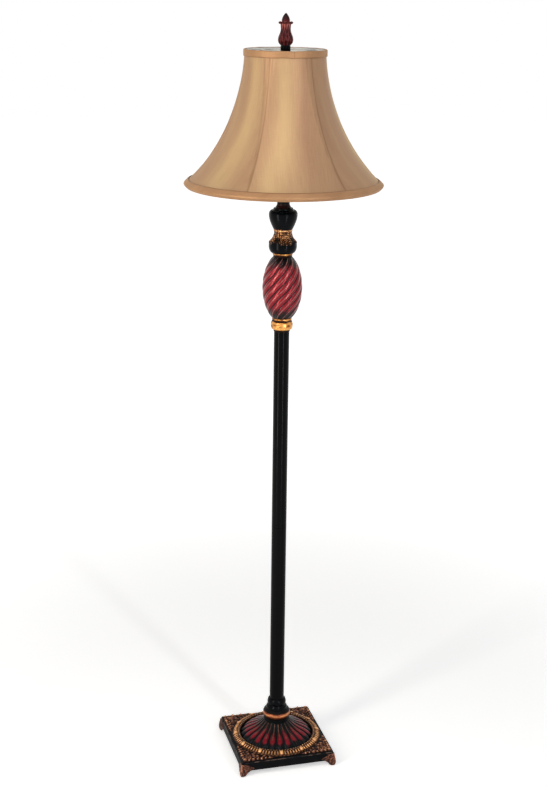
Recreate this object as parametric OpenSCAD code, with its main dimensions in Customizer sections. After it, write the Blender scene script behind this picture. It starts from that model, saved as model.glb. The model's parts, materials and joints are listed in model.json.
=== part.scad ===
// Candlestick floor lamp: a square footed base with a gadrooned dome, a two-section pole,
// a turned and fluted column top, and a six-panel bell shade on a harp.
// Millimetres, +Z up, origin on the floor at the middle of the base.

/* [Base slab] */
// Side of the square base
base_side = 208; // [196:1:230]
// Height of the base casting
slab_h = 20.5; // [18:0.5:30]
// Wall of the base casting
slab_wall = 6; // [4:0.5:8]
// Height of the slab's underside above the floor
foot_drop = 12.5; // [8:0.5:20]
// Bevel round the top edge of the slab
slab_bevel = 1.5; // [0.5:0.5:3]

/* [Feet and corner leaves] */
// Length of a foot's wing along each side
foot_wing = 27; // [20:1:36]
// Distance that a foot stands proud of the slab
foot_proud = 4; // [2:0.5:6]
// Radius of the rounded toe under a corner
toe_r = 9; // [6:0.5:12]
// Length of a corner leaf along each side
leaf_reach = 66; // [50:1:74]
// Thickness of a corner leaf's plate
leaf_plate = 2; // [1:0.5:3]
// Height of the relief on the carved pieces
relief_h = 3.4; // [2:0.2:5]

/* [Dome and its ring] */
// Radius of the dome at its foot
dome_r = 81.5; // [70:0.5:84]
// Radius of the dome at its top
dome_top_r = 28.4; // [24:0.2:34]
// Height of the dome above the slab
dome_h = 40; // [30:1:55]
// Number of gadroons round the dome
gadroons = 28; // [16:1:36]
// Depth of the grooves between gadroons
gadroon_depth = 3.4; // [1:0.2:5]
// Wall of the dome casting
dome_wall = 6; // [5:0.5:9]
// Width of the carved ring round the dome
ring_w = 16.6; // [12:0.2:18]
// Height of the carved ring
ring_h = 10.5; // [6:0.5:14]
// Number of smooth bosses on the carved ring
ring_bosses = 14; // [8:1:20]

/* [Foot of the pole] */
// Height of the dark band on the dome
band_h = 6; // [4:0.5:10]
// Radius of the gold half-round ring
gold_ring_r = 30.2; // [29:0.2:36]
// Height of the gold half-round ring
gold_ring_h = 23; // [16:0.5:28]
// Radius of the pole cup at its foot
cup_r = 23.2; // [21.6:0.2:26]
// Height of the pole cup
cup_h = 24.5; // [20:0.5:34]
// Radius of the bead at the pole cup's top
cup_bead_r = 20.6; // [19:0.2:23]
// Depth of the pole's seat in the cup
cup_seat = 10; // [6:0.5:14]

/* [Pole] */
// Outside diameter of the pole
pole_d = 31.8; // [28:0.2:34]
// Wall of the pole's tube
pole_wall = 1.2; // [0.8:0.1:2]
// Length of the lower pole section
lower_pole_l = 418.5; // [300:1:520]
// Length of the upper pole section
upper_pole_l = 425; // [300:1:520]
// Height of the joint ring between the sections
joint_h = 7; // [4:0.5:12]
// Length of a threaded plug in a pole end
plug_l = 14; // [10:1:24]

/* [Threaded pipe] */
// Outside diameter of the threaded pipe
pipe_d = 10; // [9:0.5:11]
// Wall of the threaded pipe
pipe_wall = 1.6; // [1:0.1:2]
// Clearance between the pipe and what it passes through
pipe_gap = 0.3; // [0.1:0.1:0.6]

/* [Column top] */
// Height of the gold collar under the egg
egg_collar_h = 28; // [22:1:36]
// Radius of the gold collar's bead
egg_collar_r = 22.7; // [21:0.1:26]
// Height of the fluted egg
egg_h = 127; // [100:1:140]
// Largest radius of the egg, over its flutes
egg_r = 41; // [34:0.5:48]
// Radius of the egg's flat ends
egg_end_r = 20; // [16:0.5:24]
// Number of flutes round the egg
egg_flutes = 12; // [8:1:18]
// Turn of each flute from the bottom of the egg to the top, in degrees
egg_twist = 180; // [0:5:240]
// Depth of the grooves between flutes
flute_depth = 3.2; // [1:0.2:5]
// Height of the thin gold ring on the egg
egg_ring_h = 8; // [5:0.5:12]
// Height of the bowl
bowl_h = 23; // [18:0.5:32]
// Radius of the bowl at its widest
bowl_r = 28.8; // [26:0.2:34]
// Height of the leaf collar
leaf_collar_h = 31; // [26:0.5:40]
// Radius of the leaf collar's waist
waist_r = 18.9; // [17.4:0.1:20]
// Number of leaves that lie over the bowl's lip
collar_leaves = 4; // [2:1:8]
// Length of a collar leaf
collar_leaf_l = 19; // [12:0.5:22]
// Width of a collar leaf
collar_leaf_w = 20; // [10:0.5:24]
// Height of the urn
urn_h = 38; // [30:0.5:50]
// Radius of the urn at its shoulder
urn_r = 29.2; // [26:0.2:34]
// Radius of the disc on the urn
disc_r = 20; // [17:0.5:24]
// Height of the disc on the urn
disc_h = 4; // [3:0.5:8]
// Height of the neck's flared foot
neck_foot_h = 8; // [5:0.5:14]
// Outside diameter of the neck tube
neck_d = 25.4; // [22:0.2:28]
// Length of the neck tube above its foot
neck_l = 39; // [34:1:60]

/* [Harp and socket] */
// Thickness of the harp saddle
saddle_t = 2; // [1:0.5:3]
// Distance between the harp's legs
harp_foot_w = 56; // [52:1:64]
// Largest inside width of the harp
harp_w = 112; // [100:1:124]
// Height of the harp above its saddle
harp_h = 240; // [225:1:270]
// Diameter of the harp wire
harp_wire_d = 3.6; // [2.6:0.2:4.6]
// Height of the straight part of a harp leg
harp_leg_h = 17; // [12:1:24]
// Length of a lock sleeve
sleeve_l = 14; // [10:1:18]
// Outside diameter of the socket's metal shell
socket_d = 35; // [34.4:0.2:38]
// Height of the socket's metal shell
socket_h = 44; // [40:1:54]
// Height of the socket's cap
socket_cap_h = 18; // [14:1:24]
// Wall of the socket's metal parts
socket_wall = 0.6; // [0.4:0.1:0.7]
// Outside diameter of the bulb's screw cap
bulb_cap_d = 26; // [25:0.2:26.6]
// Largest diameter of the bulb's glass
bulb_d = 67; // [56:1:72]
// Length of the bulb's glass above the socket
bulb_l = 108; // [90:1:116]
// Length of the switch knob
knob_l = 15; // [10:1:20]
// Diameter of the switch knob
knob_d = 13; // [9:0.5:16]

/* [Shade] */
// Radius of the shade's top edge
shade_top_r = 80.3; // [72:0.5:90]
// Radius of the shade's bottom edge
shade_bottom_r = 199; // [180:1:215]
// Height of the shade's fabric
shade_h = 261; // [240:1:280]
// Radius of the arc that the shade's side follows
shade_arc_r = 384.5; // [340:1:480]
// Number of panels in the shade
shade_panels = 6; // [4:1:8]
// Flatness of a panel half way up, from 0 for round to 1 for flat
panel_flat = 0.4; // [0:0.05:0.8]
// Turn of the shade's first rib about the pole, in degrees
rib_turn = -6.5; // [-30:0.5:30]
// Thickness of the shade's fabric
cover_t = 1.2; // [0.8:0.1:2]
// Thickness of the shade's lining
lining_t = 0.8; // [0.5:0.1:1.5]
// Diameter of the shade's rib wire
rib_wire_d = 3; // [2:0.2:4]
// Diameter of the shade's ring wire
ring_wire_d = 3.6; // [3:0.2:5]
// Height of the trim round the top edge
top_trim_h = 13.5; // [10:0.5:20]
// Depth of the top trim's fold inside the shade
top_fold = 3; // [2:0.5:9]
// Width of the trim round the bottom edge, along the slope
bottom_trim_w = 16; // [12:0.5:22]
// Thickness of the trim
trim_t = 1.4; // [1:0.1:2]
// Depth of the spider's washer below the shade's top edge
spider_drop = 15; // [10:1:24]
// Thickness of the spider's washer
washer_t = 1.6; // [1:0.1:2.5]
// Diameter of the spider's arms
spider_wire_d = 3.4; // [2.6:0.2:4.4]

/* [Finial] */
// Height of the finial's black base
finial_base_h = 21; // [16:0.5:28]
// Radius of the finial's black base
finial_base_r = 9.8; // [8:0.2:12]
// Height of the finial's carved bud
finial_h = 61; // [50:1:72]
// Radius of the bud's bulb
finial_bulb_r = 15; // [12:0.2:18]
// Number of knobs in the ring round the bud
finial_knobs = 8; // [5:1:10]
// Diameter of the harp's threaded stud
stud_d = 6.2; // [5.6:0.1:7]
// Length of the stud above the harp
stud_l = 20; // [16:1:20]

/* [Hidden] */
$fn = 64;
eps = 0.01;
run_gap = 0.08;   // radial clearance of a piece that turns or slides on another
face_gap = 0.2;   // clearance between faces of pieces that move apart
seat_gap = 0.3;   // clearance between pieces that are only held close

// Sides of a facetted form: points on each gadroon, flute and panel, and rings along it
gadroon_points = 5;
dome_rings = 9;
flute_points = 5;
egg_rings = 20;
panel_points = 6;
panel_rings = 12;

// Heights of the stack, from the floor up
slab_top = foot_drop + slab_h;
band_z = slab_top + dome_h;
gold_ring_z = band_z + band_h;
cup_z = gold_ring_z + gold_ring_h;
lower_pole_z = cup_z + cup_h - cup_seat;
joint_z = lower_pole_z + lower_pole_l;
upper_pole_z = joint_z + joint_h;
egg_collar_z = upper_pole_z + upper_pole_l;
egg_z = egg_collar_z + egg_collar_h;
egg_ring_z = egg_z + egg_h;
bowl_z = egg_ring_z + egg_ring_h;
bowl_floor = bowl_h - 4;               // the leaf collar stands on the bowl's floor
leaf_collar_z = bowl_z + bowl_floor;
urn_z = leaf_collar_z + leaf_collar_h;
disc_z = urn_z + urn_h;
neck_foot_z = disc_z + disc_h;
neck_z = neck_foot_z + neck_foot_h;
saddle_z = neck_z + neck_l;
harp_z = saddle_z + saddle_t;

pole_r = pole_d / 2;
pipe_r = pipe_d / 2;
pipe_bore_r = pipe_r - pipe_wall;
way_r = pipe_r + pipe_gap;             // bore of every piece that the pipe passes through
neck_r = neck_d / 2;
half = base_side / 2;

// Weight, cover and fastening inside the base
cover_plate_t = 2;
weight_plate_r = half - slab_wall - 5;
weight_plate_h = 11;
weight_boss_r = 58;
weight_hole_r = weight_boss_r + seat_gap;
slab_inside_top = slab_top - slab_wall;
weight_z = slab_inside_top - weight_plate_h;
weight_boss_top_r = 32;
weight_top_gap = 18;                   // from the weight's top to the dome's top
weight_boss_h = slab_wall + dome_h - weight_top_gap;
nut_h = 6;
nut_flat_r = 8.7;
washer_r = 13;
base_washer_t = 1.6;
nut_pocket_r = 14;
nut_pocket_h = base_washer_t + nut_h + 1;
washer_z = weight_z + nut_pocket_h - base_washer_t;
nut_z = washer_z - nut_h;
base_pipe_z = nut_z;
base_pipe_l = lower_pole_z + plug_l - base_pipe_z;

// Cord inlet in the back wall of the slab
inlet_r = 5.5;
inlet_lip_r = 7;
inlet_lip_t = 1.5;
inlet_z = foot_drop + cover_plate_t + (slab_h - slab_wall - cover_plate_t) / 2;
inlet_slot = [6.6, 3.2];               // a flat two-core cord passes through this slot

// Harp: a straight leg, a wide arc outwards and a round top, all tangent
harp_r = harp_wire_d / 2;
harp_top_z = harp_z + harp_h;
harp_top_r = harp_w / 2 + harp_r;
leg_x = harp_foot_w / 2;
leg_top_z = harp_z + harp_leg_h;
harp_rise = harp_top_z - harp_top_r - leg_top_z;
harp_side_r = (leg_x * leg_x + harp_rise * harp_rise - harp_top_r * harp_top_r)
    / (2 * (harp_top_r - leg_x));
harp_lean = asin(harp_rise / (harp_side_r + harp_top_r));
ear_r = harp_r + 1;
ear_h = 9;
sleeve_bore_r = ear_r + run_gap;
sleeve_r = sleeve_bore_r + 1.2;

// Socket and bulb, from the saddle up
pipe_top_z = harp_z + 11;
cap_z = harp_z + face_gap;
socket_r = socket_d / 2;
shell_z = cap_z + socket_cap_h - 5;
liner_t = 0.7;
liner_r = socket_r - socket_wall - 0.1;
body_r = liner_r - liner_t - 0.1;
body_z = shell_z + 4;
body_h = socket_h - 6;
bulb_cap_r = bulb_cap_d / 2;
screw_r = bulb_cap_r + run_gap;
screw_wall = 0.5;
pocket_z = body_z + 12;
screw_h = body_h - 13;
contact_h = 3;
bulb_cap_z = pocket_z + contact_h + 0.6;
bulb_cap_h = 24;
glass_z = bulb_cap_z + bulb_cap_h;
bulb_r = bulb_d / 2;
bulb_wall = 1;
bulb_neck_h = 10;
knob_z = body_z + 6;
shaft_r = 2;
shaft_seat = 6;                        // depth of the shaft in the socket body
shaft_out = 5;                         // length of the shaft between the shell and the knob

// Shade: every layer follows an arc about one centre outside the shade
washer_z0 = harp_top_z + harp_r + 3.2;
shade_top_z = washer_z0 + spider_drop;
shade_bottom_z = shade_top_z - shade_h;
chord = [shade_bottom_r - shade_top_r, -shade_h];
chord_l = norm(chord);
chord_off = sqrt(shade_arc_r * shade_arc_r - chord_l * chord_l / 4);
arc_centre = [
    (shade_top_r + shade_bottom_r) / 2 + shade_h / chord_l * chord_off,
    (shade_top_z + shade_bottom_z) / 2 + chord[0] / chord_l * chord_off
];
arc_top = asin((arc_centre[1] - shade_top_z) / shade_arc_r);
arc_bottom = asin((arc_centre[1] - shade_bottom_z) / shade_arc_r);
panel_angle = 360 / shade_panels;
shade_sides = shade_panels * panel_points;
ring_from_edge = 0.45;                 // angle along the arc from an edge to its ring's wire
top_ring_a = arc_top + ring_from_edge;
bottom_ring_a = arc_bottom - ring_from_edge;
rib_past_ring = 0.15;                  // angle by which a rib passes the middle of a ring
ring_v = 1 - ring_from_edge / (arc_bottom - arc_top);
rib_in = cover_t + seat_gap + rib_wire_d / 2;
ring_in = cover_t + seat_gap + panel_sag(shade_bottom_r, ring_v) + ring_wire_d / 2;
lining_in = ring_in + ring_wire_d / 2 + seat_gap;
trim_in = lining_in + lining_t;
spider_arms = 3;
stud_r = stud_d / 2;
stud_seat_r = 6;
washer_bore_r = stud_r + run_gap;
spider_washer_r = 13;

finial_base_z = washer_z0 + washer_t + face_gap;
finial_z = finial_base_z + finial_base_h;
bush_r = stud_r + 1.6;
bush_l = 14;
stud_z = washer_z0 - face_gap;
stud_hole_h = stud_z + stud_l + 1 - finial_base_z;

// ---- Shared forms ----

// A point on an ellipse about c, at an angle a
function oval(c, rx, rz, a) = [c[0] + rx * cos(a), c[1] + rz * sin(a)];

// Points along an ellipse from one angle to another
function oval_run(c, rx, rz, a0, a1, n) =
    [for (i = [0 : n]) oval(c, rx, rz, a0 + (a1 - a0) * i / n)];

// A round piece turned about the pole: the outline runs up the outside, [radius, height] above z
module turned(outline, z, bore) {
    last = len(outline) - 1;
    translate([0, 0, z])
        rotate_extrude()
            polygon(concat([[bore, outline[0][1]]], outline, [[bore, outline[last][1]]]));
}

module tube(r, wall, l) {
    difference() {
        cylinder(r = r, h = l);
        translate([0, 0, -1]) cylinder(r = r - wall, h = l + 2);
    }
}

// A length of round wire bent to an arc about [x, z], in the XZ plane
module wire_arc(x, z, bend_r, wire_r, a0, a1) {
    translate([x, 0, z])
        rotate([90, 0, 0])
            rotate([0, 0, a0])
                rotate_extrude(angle = a1 - a0)
                    translate([bend_r, 0]) circle(r = wire_r, $fn = 32);
}

// A closed skin over a grid of points: rings[i][j] is point j of ring i, counted from the top,
// with the points of a ring going round anticlockwise seen from above
module loft(rings) {
    n = len(rings[0]);
    m = len(rings);
    points = [for (ring = rings) for (p = ring) p];
    sides = [for (i = [0 : m - 2]) for (j = [0 : n - 1]) let (k = (j + 1) % n)
        each [[i * n + j, i * n + k, (i + 1) * n + k], [i * n + j, (i + 1) * n + k, (i + 1) * n + j]]];
    top = [for (j = [n - 1 : -1 : 0]) j];
    bottom = [for (j = [0 : n - 1]) (m - 1) * n + j];
    polyhedron(points = points, faces = concat(sides, [top], [bottom]), convexity = 6);
}

// A carved leaf lying on the XY plane: a pointed oval with a ridge along it
module leaf(l, w, h) {
    n = 10;
    rim = [for (i = [0 : n - 1]) let (a = 360 * i / n)
        [l / 2 + l / 2 * cos(a), w / 2 * sin(a) * (1 - 0.35 * cos(a)), 0]];
    ridge = [[l * 0.2, 0, h * 0.8], [l * 0.5, 0, h], [l * 0.82, 0, h * 0.6]];
    function crest(i) = n + 1 + round(cos(360 * i / n) * 0.9);
    sides = [for (i = [0 : n - 1]) let (k = (i + 1) % n) each concat(
        [[crest(i), k, i]],
        crest(i) == crest(k) ? [] : [[crest(i), crest(k), k]]
    )];
    polyhedron(points = concat(rim, ridge), faces = concat(sides, [[for (i = [0 : n - 1]) i]]));
}

// ---- Base ----

module base_slab() color("#17171a") difference() {
    union() {
        translate([-half, -half, foot_drop])
            cube([base_side, base_side, slab_h - slab_bevel]);
        translate([0, 0, slab_top - slab_bevel])
            linear_extrude(slab_bevel, scale = (base_side - 2 * slab_bevel) / base_side)
                square(base_side, center = true);
    }
    translate([-half + slab_wall, -half + slab_wall, foot_drop - 1])
        cube([base_side - 2 * slab_wall, base_side - 2 * slab_wall, slab_h - slab_wall + 1]);
    cylinder(r = weight_hole_r, h = slab_top + 1);
    translate([0, half + 1, inlet_z])
        rotate([90, 0, 0]) cylinder(r = inlet_r, h = slab_wall + 2);
}

// The outline of one wing of a foot: level under the slab's top edge, a pointed tip, an ogee
// up from the toe
module foot_wing_outline() {
    tip_z = foot_drop + slab_h * 0.42;
    wing_top = slab_top - slab_bevel - 0.5;
    difference() {
        polygon(concat(
            [[-foot_proud, 0], [toe_r * 0.6, 0]],
            oval_run([toe_r * 0.6, foot_drop], foot_wing * 0.45, foot_drop, -80, 0, 5),
            [[foot_wing, tip_z], [foot_wing * 0.55, wing_top], [-foot_proud, wing_top]]
        ));
        translate([foot_wing * 0.98, foot_drop * 0.55]) circle(r = foot_drop * 0.55);
    }
}

module foot_wing_plate() {
    rotate([90, 0, 0]) linear_extrude(foot_proud) foot_wing_outline();
}

// One bracket foot at the corner [-1, -1], turned about the pole to its own corner
module foot(turn) color("#7d5a48") rotate([0, 0, turn]) difference() {
    toe_in = toe_r - foot_proud;
    translate([-half, -half, 0]) union() {
        foot_wing_plate();
        mirror([1, -1, 0]) foot_wing_plate();
        translate([toe_in, toe_in, 0])
            turned([[toe_r - 1.5, 0], [toe_r, 2], [toe_r, 5], [toe_r - 2, foot_drop]], 0, 0);
        translate([0, 0, foot_drop - eps])
            cylinder(r = foot_proud + 1.2, h = slab_h - slab_bevel - 0.5);
    }
    translate([-half, -half, foot_drop]) cube([base_side, base_side, slab_h]);
}

module foot_front_left() foot(0);
module foot_front_right() foot(90);
module foot_back_right() foot(180);
module foot_back_left() foot(270);

// One carved spandrel in the corner [-1, -1]: a thin plate with a fan of leaves on it
module corner_leaf(turn) color("#96694a") rotate([0, 0, turn]) {
    ring_clear_r = dome_r + seat_gap + ring_w + 0.6;
    edge = half - slab_bevel;
    fan = [-38, -22, -8, 8, 22, 38];
    boss_r = 5.5;
    translate([0, 0, slab_top]) linear_extrude(leaf_plate) difference() {
        polygon([[-edge, -edge], [-edge + leaf_reach, -edge], [-edge, -edge + leaf_reach]]);
        circle(r = ring_clear_r);
    }
    translate([-edge + 6, -edge + 6, slab_top + leaf_plate]) rotate([0, 0, 45]) {
        for (a = fan) rotate([0, 0, a]) translate([6, 0, 0]) leaf(23 + abs(a) * 0.55, 8.5, relief_h);
        turned(oval_run([0, 0], boss_r, boss_r - 0.7, 0, 88, 6), 0, 0);
    }
}

module corner_front_left() corner_leaf(0);
module corner_front_right() corner_leaf(90);
module corner_back_right() corner_leaf(180);
module corner_back_left() corner_leaf(270);

// The dome's section, from its top (s = 0) to its foot (s = 1): an ogee
function dome_radius(s) = dome_top_r + (dome_r - dome_top_r) * s;
function dome_height(s) = dome_h * (1 - 0.93 * s - 0.055 * sin(360 * s));

// A gadroon swells from nothing at its sides to full in its middle; x is -1 to 1 across it
function gadroon_swell(x) = sqrt(1 - 0.94 * x * x);

function dome_ring(s) = let (n = gadroons * gadroon_points, depth = gadroon_depth * (0.25 + 0.75 * s)) [
    for (j = [0 : n - 1]) let (
        a = 360 * j / n,
        x = 2 * (j % gadroon_points) / gadroon_points - 1,
        dip = depth * (1 - gadroon_swell(x)),
        r = dome_radius(s) - dip * (0.3 + 0.7 * s),
        z = slab_top + max(dome_height(s) - dip * (1 - 0.5 * s), eps)
    ) [r * cos(a), r * sin(a), z]
];

function dome_foot(z) = let (n = gadroons * gadroon_points) [
    for (j = [0 : n - 1]) let (a = 360 * j / n)
        [(dome_r - gadroon_depth) * cos(a), (dome_r - gadroon_depth) * sin(a), z]
];

module base_dome() color("#6b1a22") difference() {
    hollow_r = dome_r - gadroon_depth - dome_wall;
    shoulder_r = weight_boss_top_r + 14;
    shoulder_z = dome_h - weight_top_gap - 1;
    loft(concat([for (i = [0 : dome_rings]) dome_ring(i / dome_rings)], [dome_foot(slab_top)]));
    turned([[hollow_r, -1], [hollow_r, 0], [shoulder_r, shoulder_z],
        [dome_top_r - 4, dome_h - dome_wall - 4]], slab_top, 0);
    cylinder(r = way_r, h = band_z + 1);
}

module base_ring() color("#b08350") {
    r0 = dome_r + seat_gap;
    r1 = r0 + ring_w;
    boss_w = 11;
    flutes = 3;
    slope = 25;
    turned([[r1 - 0.4, 0], [r1, 1.2], [r1, 3], [r1 - 3, ring_h * 0.62], [r1 - 8, ring_h - 2.4],
        [r0 + 4, ring_h - 1], [r0, ring_h - 1.6]], slab_top, r0);
    for (i = [0 : ring_bosses - 1]) rotate([0, 0, (i + 0.5) * 360 / ring_bosses]) {
        translate([r1 - 1.6, 0, slab_top + ring_h * 0.38])
            rotate([0, -slope, 180]) leaf(ring_w - 3, boss_w, relief_h * 0.9);
        for (k = [1 : flutes]) rotate([0, 0, k * 360 / ring_bosses / (flutes + 1)])
            translate([r1 - 2, 0, slab_top + ring_h * 0.4])
                rotate([0, -slope, 180]) leaf(ring_w - 4.5, 5, relief_h * 0.6);
    }
}

module dome_band() color("#1d2326")
    turned([[dome_top_r, 0], [dome_top_r, 1.5], [dome_top_r - 1, band_h / 2],
        [dome_top_r - 0.4, band_h]], band_z, way_r);

module gold_ring() color("#a9744a") {
    bulge_z = gold_ring_h * 0.36;
    foot_r = dome_top_r - 0.8;
    turned(concat(
        oval_run([foot_r, bulge_z], gold_ring_r - foot_r, bulge_z, -90, 0, 6),
        oval_run([cup_r + 0.4, bulge_z], gold_ring_r - cup_r - 0.4, gold_ring_h - bulge_z, 10, 90, 8)
    ), gold_ring_z, way_r);
}

module pole_cup() color("#141416") difference() {
    bead_z = cup_h * 0.6;
    groove_r = cup_bead_r - 1.7;
    bead_h = cup_h - bead_z;
    turned(concat(
        [[cup_r, 0], [cup_r - 0.5, cup_h * 0.18], [groove_r + 0.8, cup_h * 0.33]],
        [[groove_r, cup_h * 0.4]],
        oval_run([pole_r + 0.3, bead_z], cup_bead_r - pole_r - 0.3, bead_h * 0.95, -35, 90, 9)
    ), cup_z, way_r);
    translate([0, 0, lower_pole_z]) cylinder(r = pole_r + pipe_gap / 10, h = cup_seat + 1);
}

module base_weight() color("#3a3a3c") difference() {
    union() {
        translate([0, 0, weight_z]) cylinder(r = weight_plate_r, h = weight_plate_h);
        turned([[weight_boss_r, 0], [weight_boss_r, slab_wall + 2], [weight_boss_top_r, weight_boss_h]],
            slab_inside_top, 0);
    }
    cylinder(r = way_r, h = band_z);
    translate([0, 0, weight_z - 1]) cylinder(r = nut_pocket_r, h = nut_pocket_h + 1);
}

module base_cover() color("#2c4a33")
    translate([0, 0, foot_drop])
        linear_extrude(cover_plate_t)
            square(base_side - 2 * slab_wall - 2 * seat_gap, center = true);

module threaded_pipe(z, l) translate([0, 0, z]) tube(pipe_r, pipe_wall, l);

module base_pipe() color("#b9b9b4") threaded_pipe(base_pipe_z, base_pipe_l);

module base_washer() color("#b9b9b4")
    translate([0, 0, washer_z]) tube(washer_r, washer_r - way_r, base_washer_t);

module base_nut() color("#c9a14a") translate([0, 0, nut_z]) difference() {
    cylinder(r = nut_flat_r / cos(30), h = nut_h, $fn = 6);
    translate([0, 0, -1]) cylinder(r = pipe_r + eps, h = nut_h + 2);
}

// A round bushing with a lip outside the wall and a slot for a flat cord
module cord_bushing() color("#101010") translate([0, half, inlet_z]) rotate([90, 0, 0]) difference() {
    union() {
        translate([0, 0, -inlet_lip_t]) cylinder(r = inlet_lip_r, h = inlet_lip_t);
        cylinder(r = inlet_r - eps, h = slab_wall + 1);
    }
    cube([inlet_slot[0], inlet_slot[1], 40], center = true);
}

// ---- Pole ----

module lower_pole() color("#0f0f12") translate([0, 0, lower_pole_z]) tube(pole_r, pole_wall, lower_pole_l);

module upper_pole() color("#0f0f12") translate([0, 0, upper_pole_z]) tube(pole_r, pole_wall, upper_pole_l);

// The ring that shows between the two sections, with the threaded pipe that joins their plugs
module pole_joint() color("#3c3c40") {
    edge = 0.6;
    turned([[pole_r - edge, 0], [pole_r, edge], [pole_r, joint_h - edge], [pole_r - edge, joint_h]],
        joint_z, pipe_bore_r);
    threaded_pipe(joint_z - plug_l, 2 * plug_l + joint_h);
}

module pole_plug(z) translate([0, 0, z]) tube(pole_r - pole_wall, pole_r - pole_wall - way_r, plug_l);

module pole_plugs() color("#8c8c88") {
    pole_plug(lower_pole_z);
    pole_plug(joint_z - plug_l);
    pole_plug(upper_pole_z);
    pole_plug(egg_collar_z - plug_l);
}

// ---- Column top ----

module egg_collar() color("#b3834f") {
    bead_z = egg_collar_h * 0.4;
    turned(concat(
        [[pole_r + 0.8, 0], [pole_r + 1.2, 2.4], [egg_end_r + 0.2, 4.6]],
        oval_run([egg_collar_r - 3, bead_z], 3, egg_collar_h * 0.2, -70, 60, 8),
        [[egg_end_r + 0.3, egg_collar_h * 0.7], [egg_end_r - 0.2, egg_collar_h * 0.78],
         [egg_end_r + 0.3, egg_collar_h * 0.88], [egg_end_r, egg_collar_h]]
    ), egg_collar_z, way_r);
}

// The egg's half length if it ran to a point: its ends are cut off where it is egg_end_r
egg_half = egg_h / 2 / sqrt(1 - egg_end_r * egg_end_r / (egg_r * egg_r));

function egg_radius(h) = egg_r * sqrt(1 - h * h / (egg_half * egg_half));

// A flute is a rounded rib with a sharp groove each side; it fades out towards the egg's ends
function flute_dip(x, v) = flute_depth * (1 - sqrt(1 - 0.92 * x * x)) * (0.25 + 0.75 * sin(180 * v));

function egg_loop(v) = let (n = egg_flutes * flute_points, h = egg_h * (v - 0.5)) [
    for (j = [0 : n - 1]) let (
        a = 360 * j / n + egg_twist * v,
        x = 2 * (j % flute_points) / flute_points - 1,
        r = egg_radius(h) - flute_dip(x, v)
    ) [r * cos(a), r * sin(a), egg_z + egg_h * v]
];

module fluted_egg() color("#7a141d") difference() {
    loft([for (i = [egg_rings : -1 : 0]) egg_loop(i / egg_rings)]);
    translate([0, 0, egg_z - 1]) cylinder(r = way_r, h = egg_h + 2);
}

module egg_ring() color("#b3834f")
    turned([[egg_end_r - 1, 0], [egg_end_r - 1.2, 1], [egg_end_r - 0.4, egg_ring_h * 0.5],
        [egg_end_r + 0.4, egg_ring_h * 0.7], [egg_end_r + 1, egg_ring_h]], egg_ring_z, way_r);

module bowl() color("#101014") difference() {
    lip_z = bowl_h * 0.66;
    floor_r = 21;
    turned(concat(
        oval_run([floor_r, lip_z], bowl_r - floor_r, lip_z, -82, 0, 9),
        [[bowl_r - 0.2, bowl_h * 0.8], [bowl_r - 0.8, bowl_h]]
    ), bowl_z, way_r);
    translate([0, 0, leaf_collar_z])
        cylinder(r = bowl_r - 2.6, h = bowl_h);
}

// A gold waist that rises out of the bowl, with a ring of leaves lying out over the bowl's lip
module leaf_collar() color("#b3834f") {
    spread_r = bowl_r - 3.2;
    waist_z = leaf_collar_h * 0.5;
    bead_r = waist_r + 1.4;
    turned(concat(
        oval_run([spread_r, waist_z], waist_r - spread_r, waist_z, -84, 0, 8),
        [[waist_r + 0.9, leaf_collar_h * 0.63]],
        oval_run([bead_r - 1, leaf_collar_h * 0.8], 1, leaf_collar_h * 0.12, -80, 80, 6),
        [[waist_r + 0.6, leaf_collar_h]]
    ), leaf_collar_z, way_r);
    leaf_droop = 50;
    for (i = [0 : collar_leaves - 1]) rotate([0, 0, 360 * i / collar_leaves])
        translate([waist_r - 0.6, 0, leaf_collar_z + waist_z + 2])
            rotate([0, leaf_droop, 0]) leaf(collar_leaf_l, collar_leaf_w, relief_h * 0.8);
}

module urn() color("#101014") {
    foot_r = waist_r + 1.4;
    shoulder_z = urn_h * 0.76;
    turned(concat(
        [for (i = [0 : 10]) [foot_r + (urn_r - foot_r) * sin(9 * i), shoulder_z * i / 10]],
        oval_run([disc_r + 1.5, shoulder_z], urn_r - disc_r - 1.5, urn_h - shoulder_z, 12, 90, 7)
    ), urn_z, way_r);
}

module urn_disc() color("#0f0f12")
    turned([[disc_r - 0.8, 0], [disc_r, 0.8], [disc_r, disc_h - 1.2], [disc_r - 1.2, disc_h]],
        disc_z, way_r);

module neck_foot() color("#3a1512")
    turned([[neck_r + 3.4, 0], [neck_r + 2.6, neck_foot_h * 0.25], [neck_r + 1.4, neck_foot_h * 0.5],
        [neck_r + 0.6, neck_foot_h * 0.75], [neck_r + 0.3, neck_foot_h]], neck_foot_z, way_r);

// A tube closed at each end by a disc that the pipe passes through
module neck_tube() color("#0f0f12") {
    end_t = 2;
    inside_r = neck_r - pole_wall;
    translate([0, 0, neck_z]) tube(neck_r, pole_wall, neck_l);
    for (z = [neck_z, saddle_z - end_t]) translate([0, 0, z])
        tube(inside_r + eps, inside_r + eps - way_r, end_t);
}

module top_pipe() color("#b9b9b4") {
    z = egg_collar_z - plug_l;
    threaded_pipe(z, pipe_top_z - z);
}

// ---- Harp and socket ----

// A flat strip across the neck's top, with an upright ear at each end
module harp_saddle() color("#c2a25c") difference() {
    union() {
        translate([-leg_x - ear_r, -6, saddle_z]) cube([2 * (leg_x + ear_r), 12, saddle_t]);
        for (s = [-1, 1]) translate([s * leg_x, 0, saddle_z]) cylinder(r = ear_r, h = saddle_t + ear_h);
    }
    translate([0, 0, saddle_z - 1]) cylinder(r = way_r, h = saddle_t + 2);
    for (s = [-1, 1]) translate([s * leg_x, 0, harp_z]) cylinder(r = harp_r + run_gap / 2, h = ear_h + 1);
}

// Two runs of wire end just short of each other inside a round weld
module weld(x, z) translate([x, 0, z]) sphere(r = harp_r + 0.1, $fn = 32);

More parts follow.
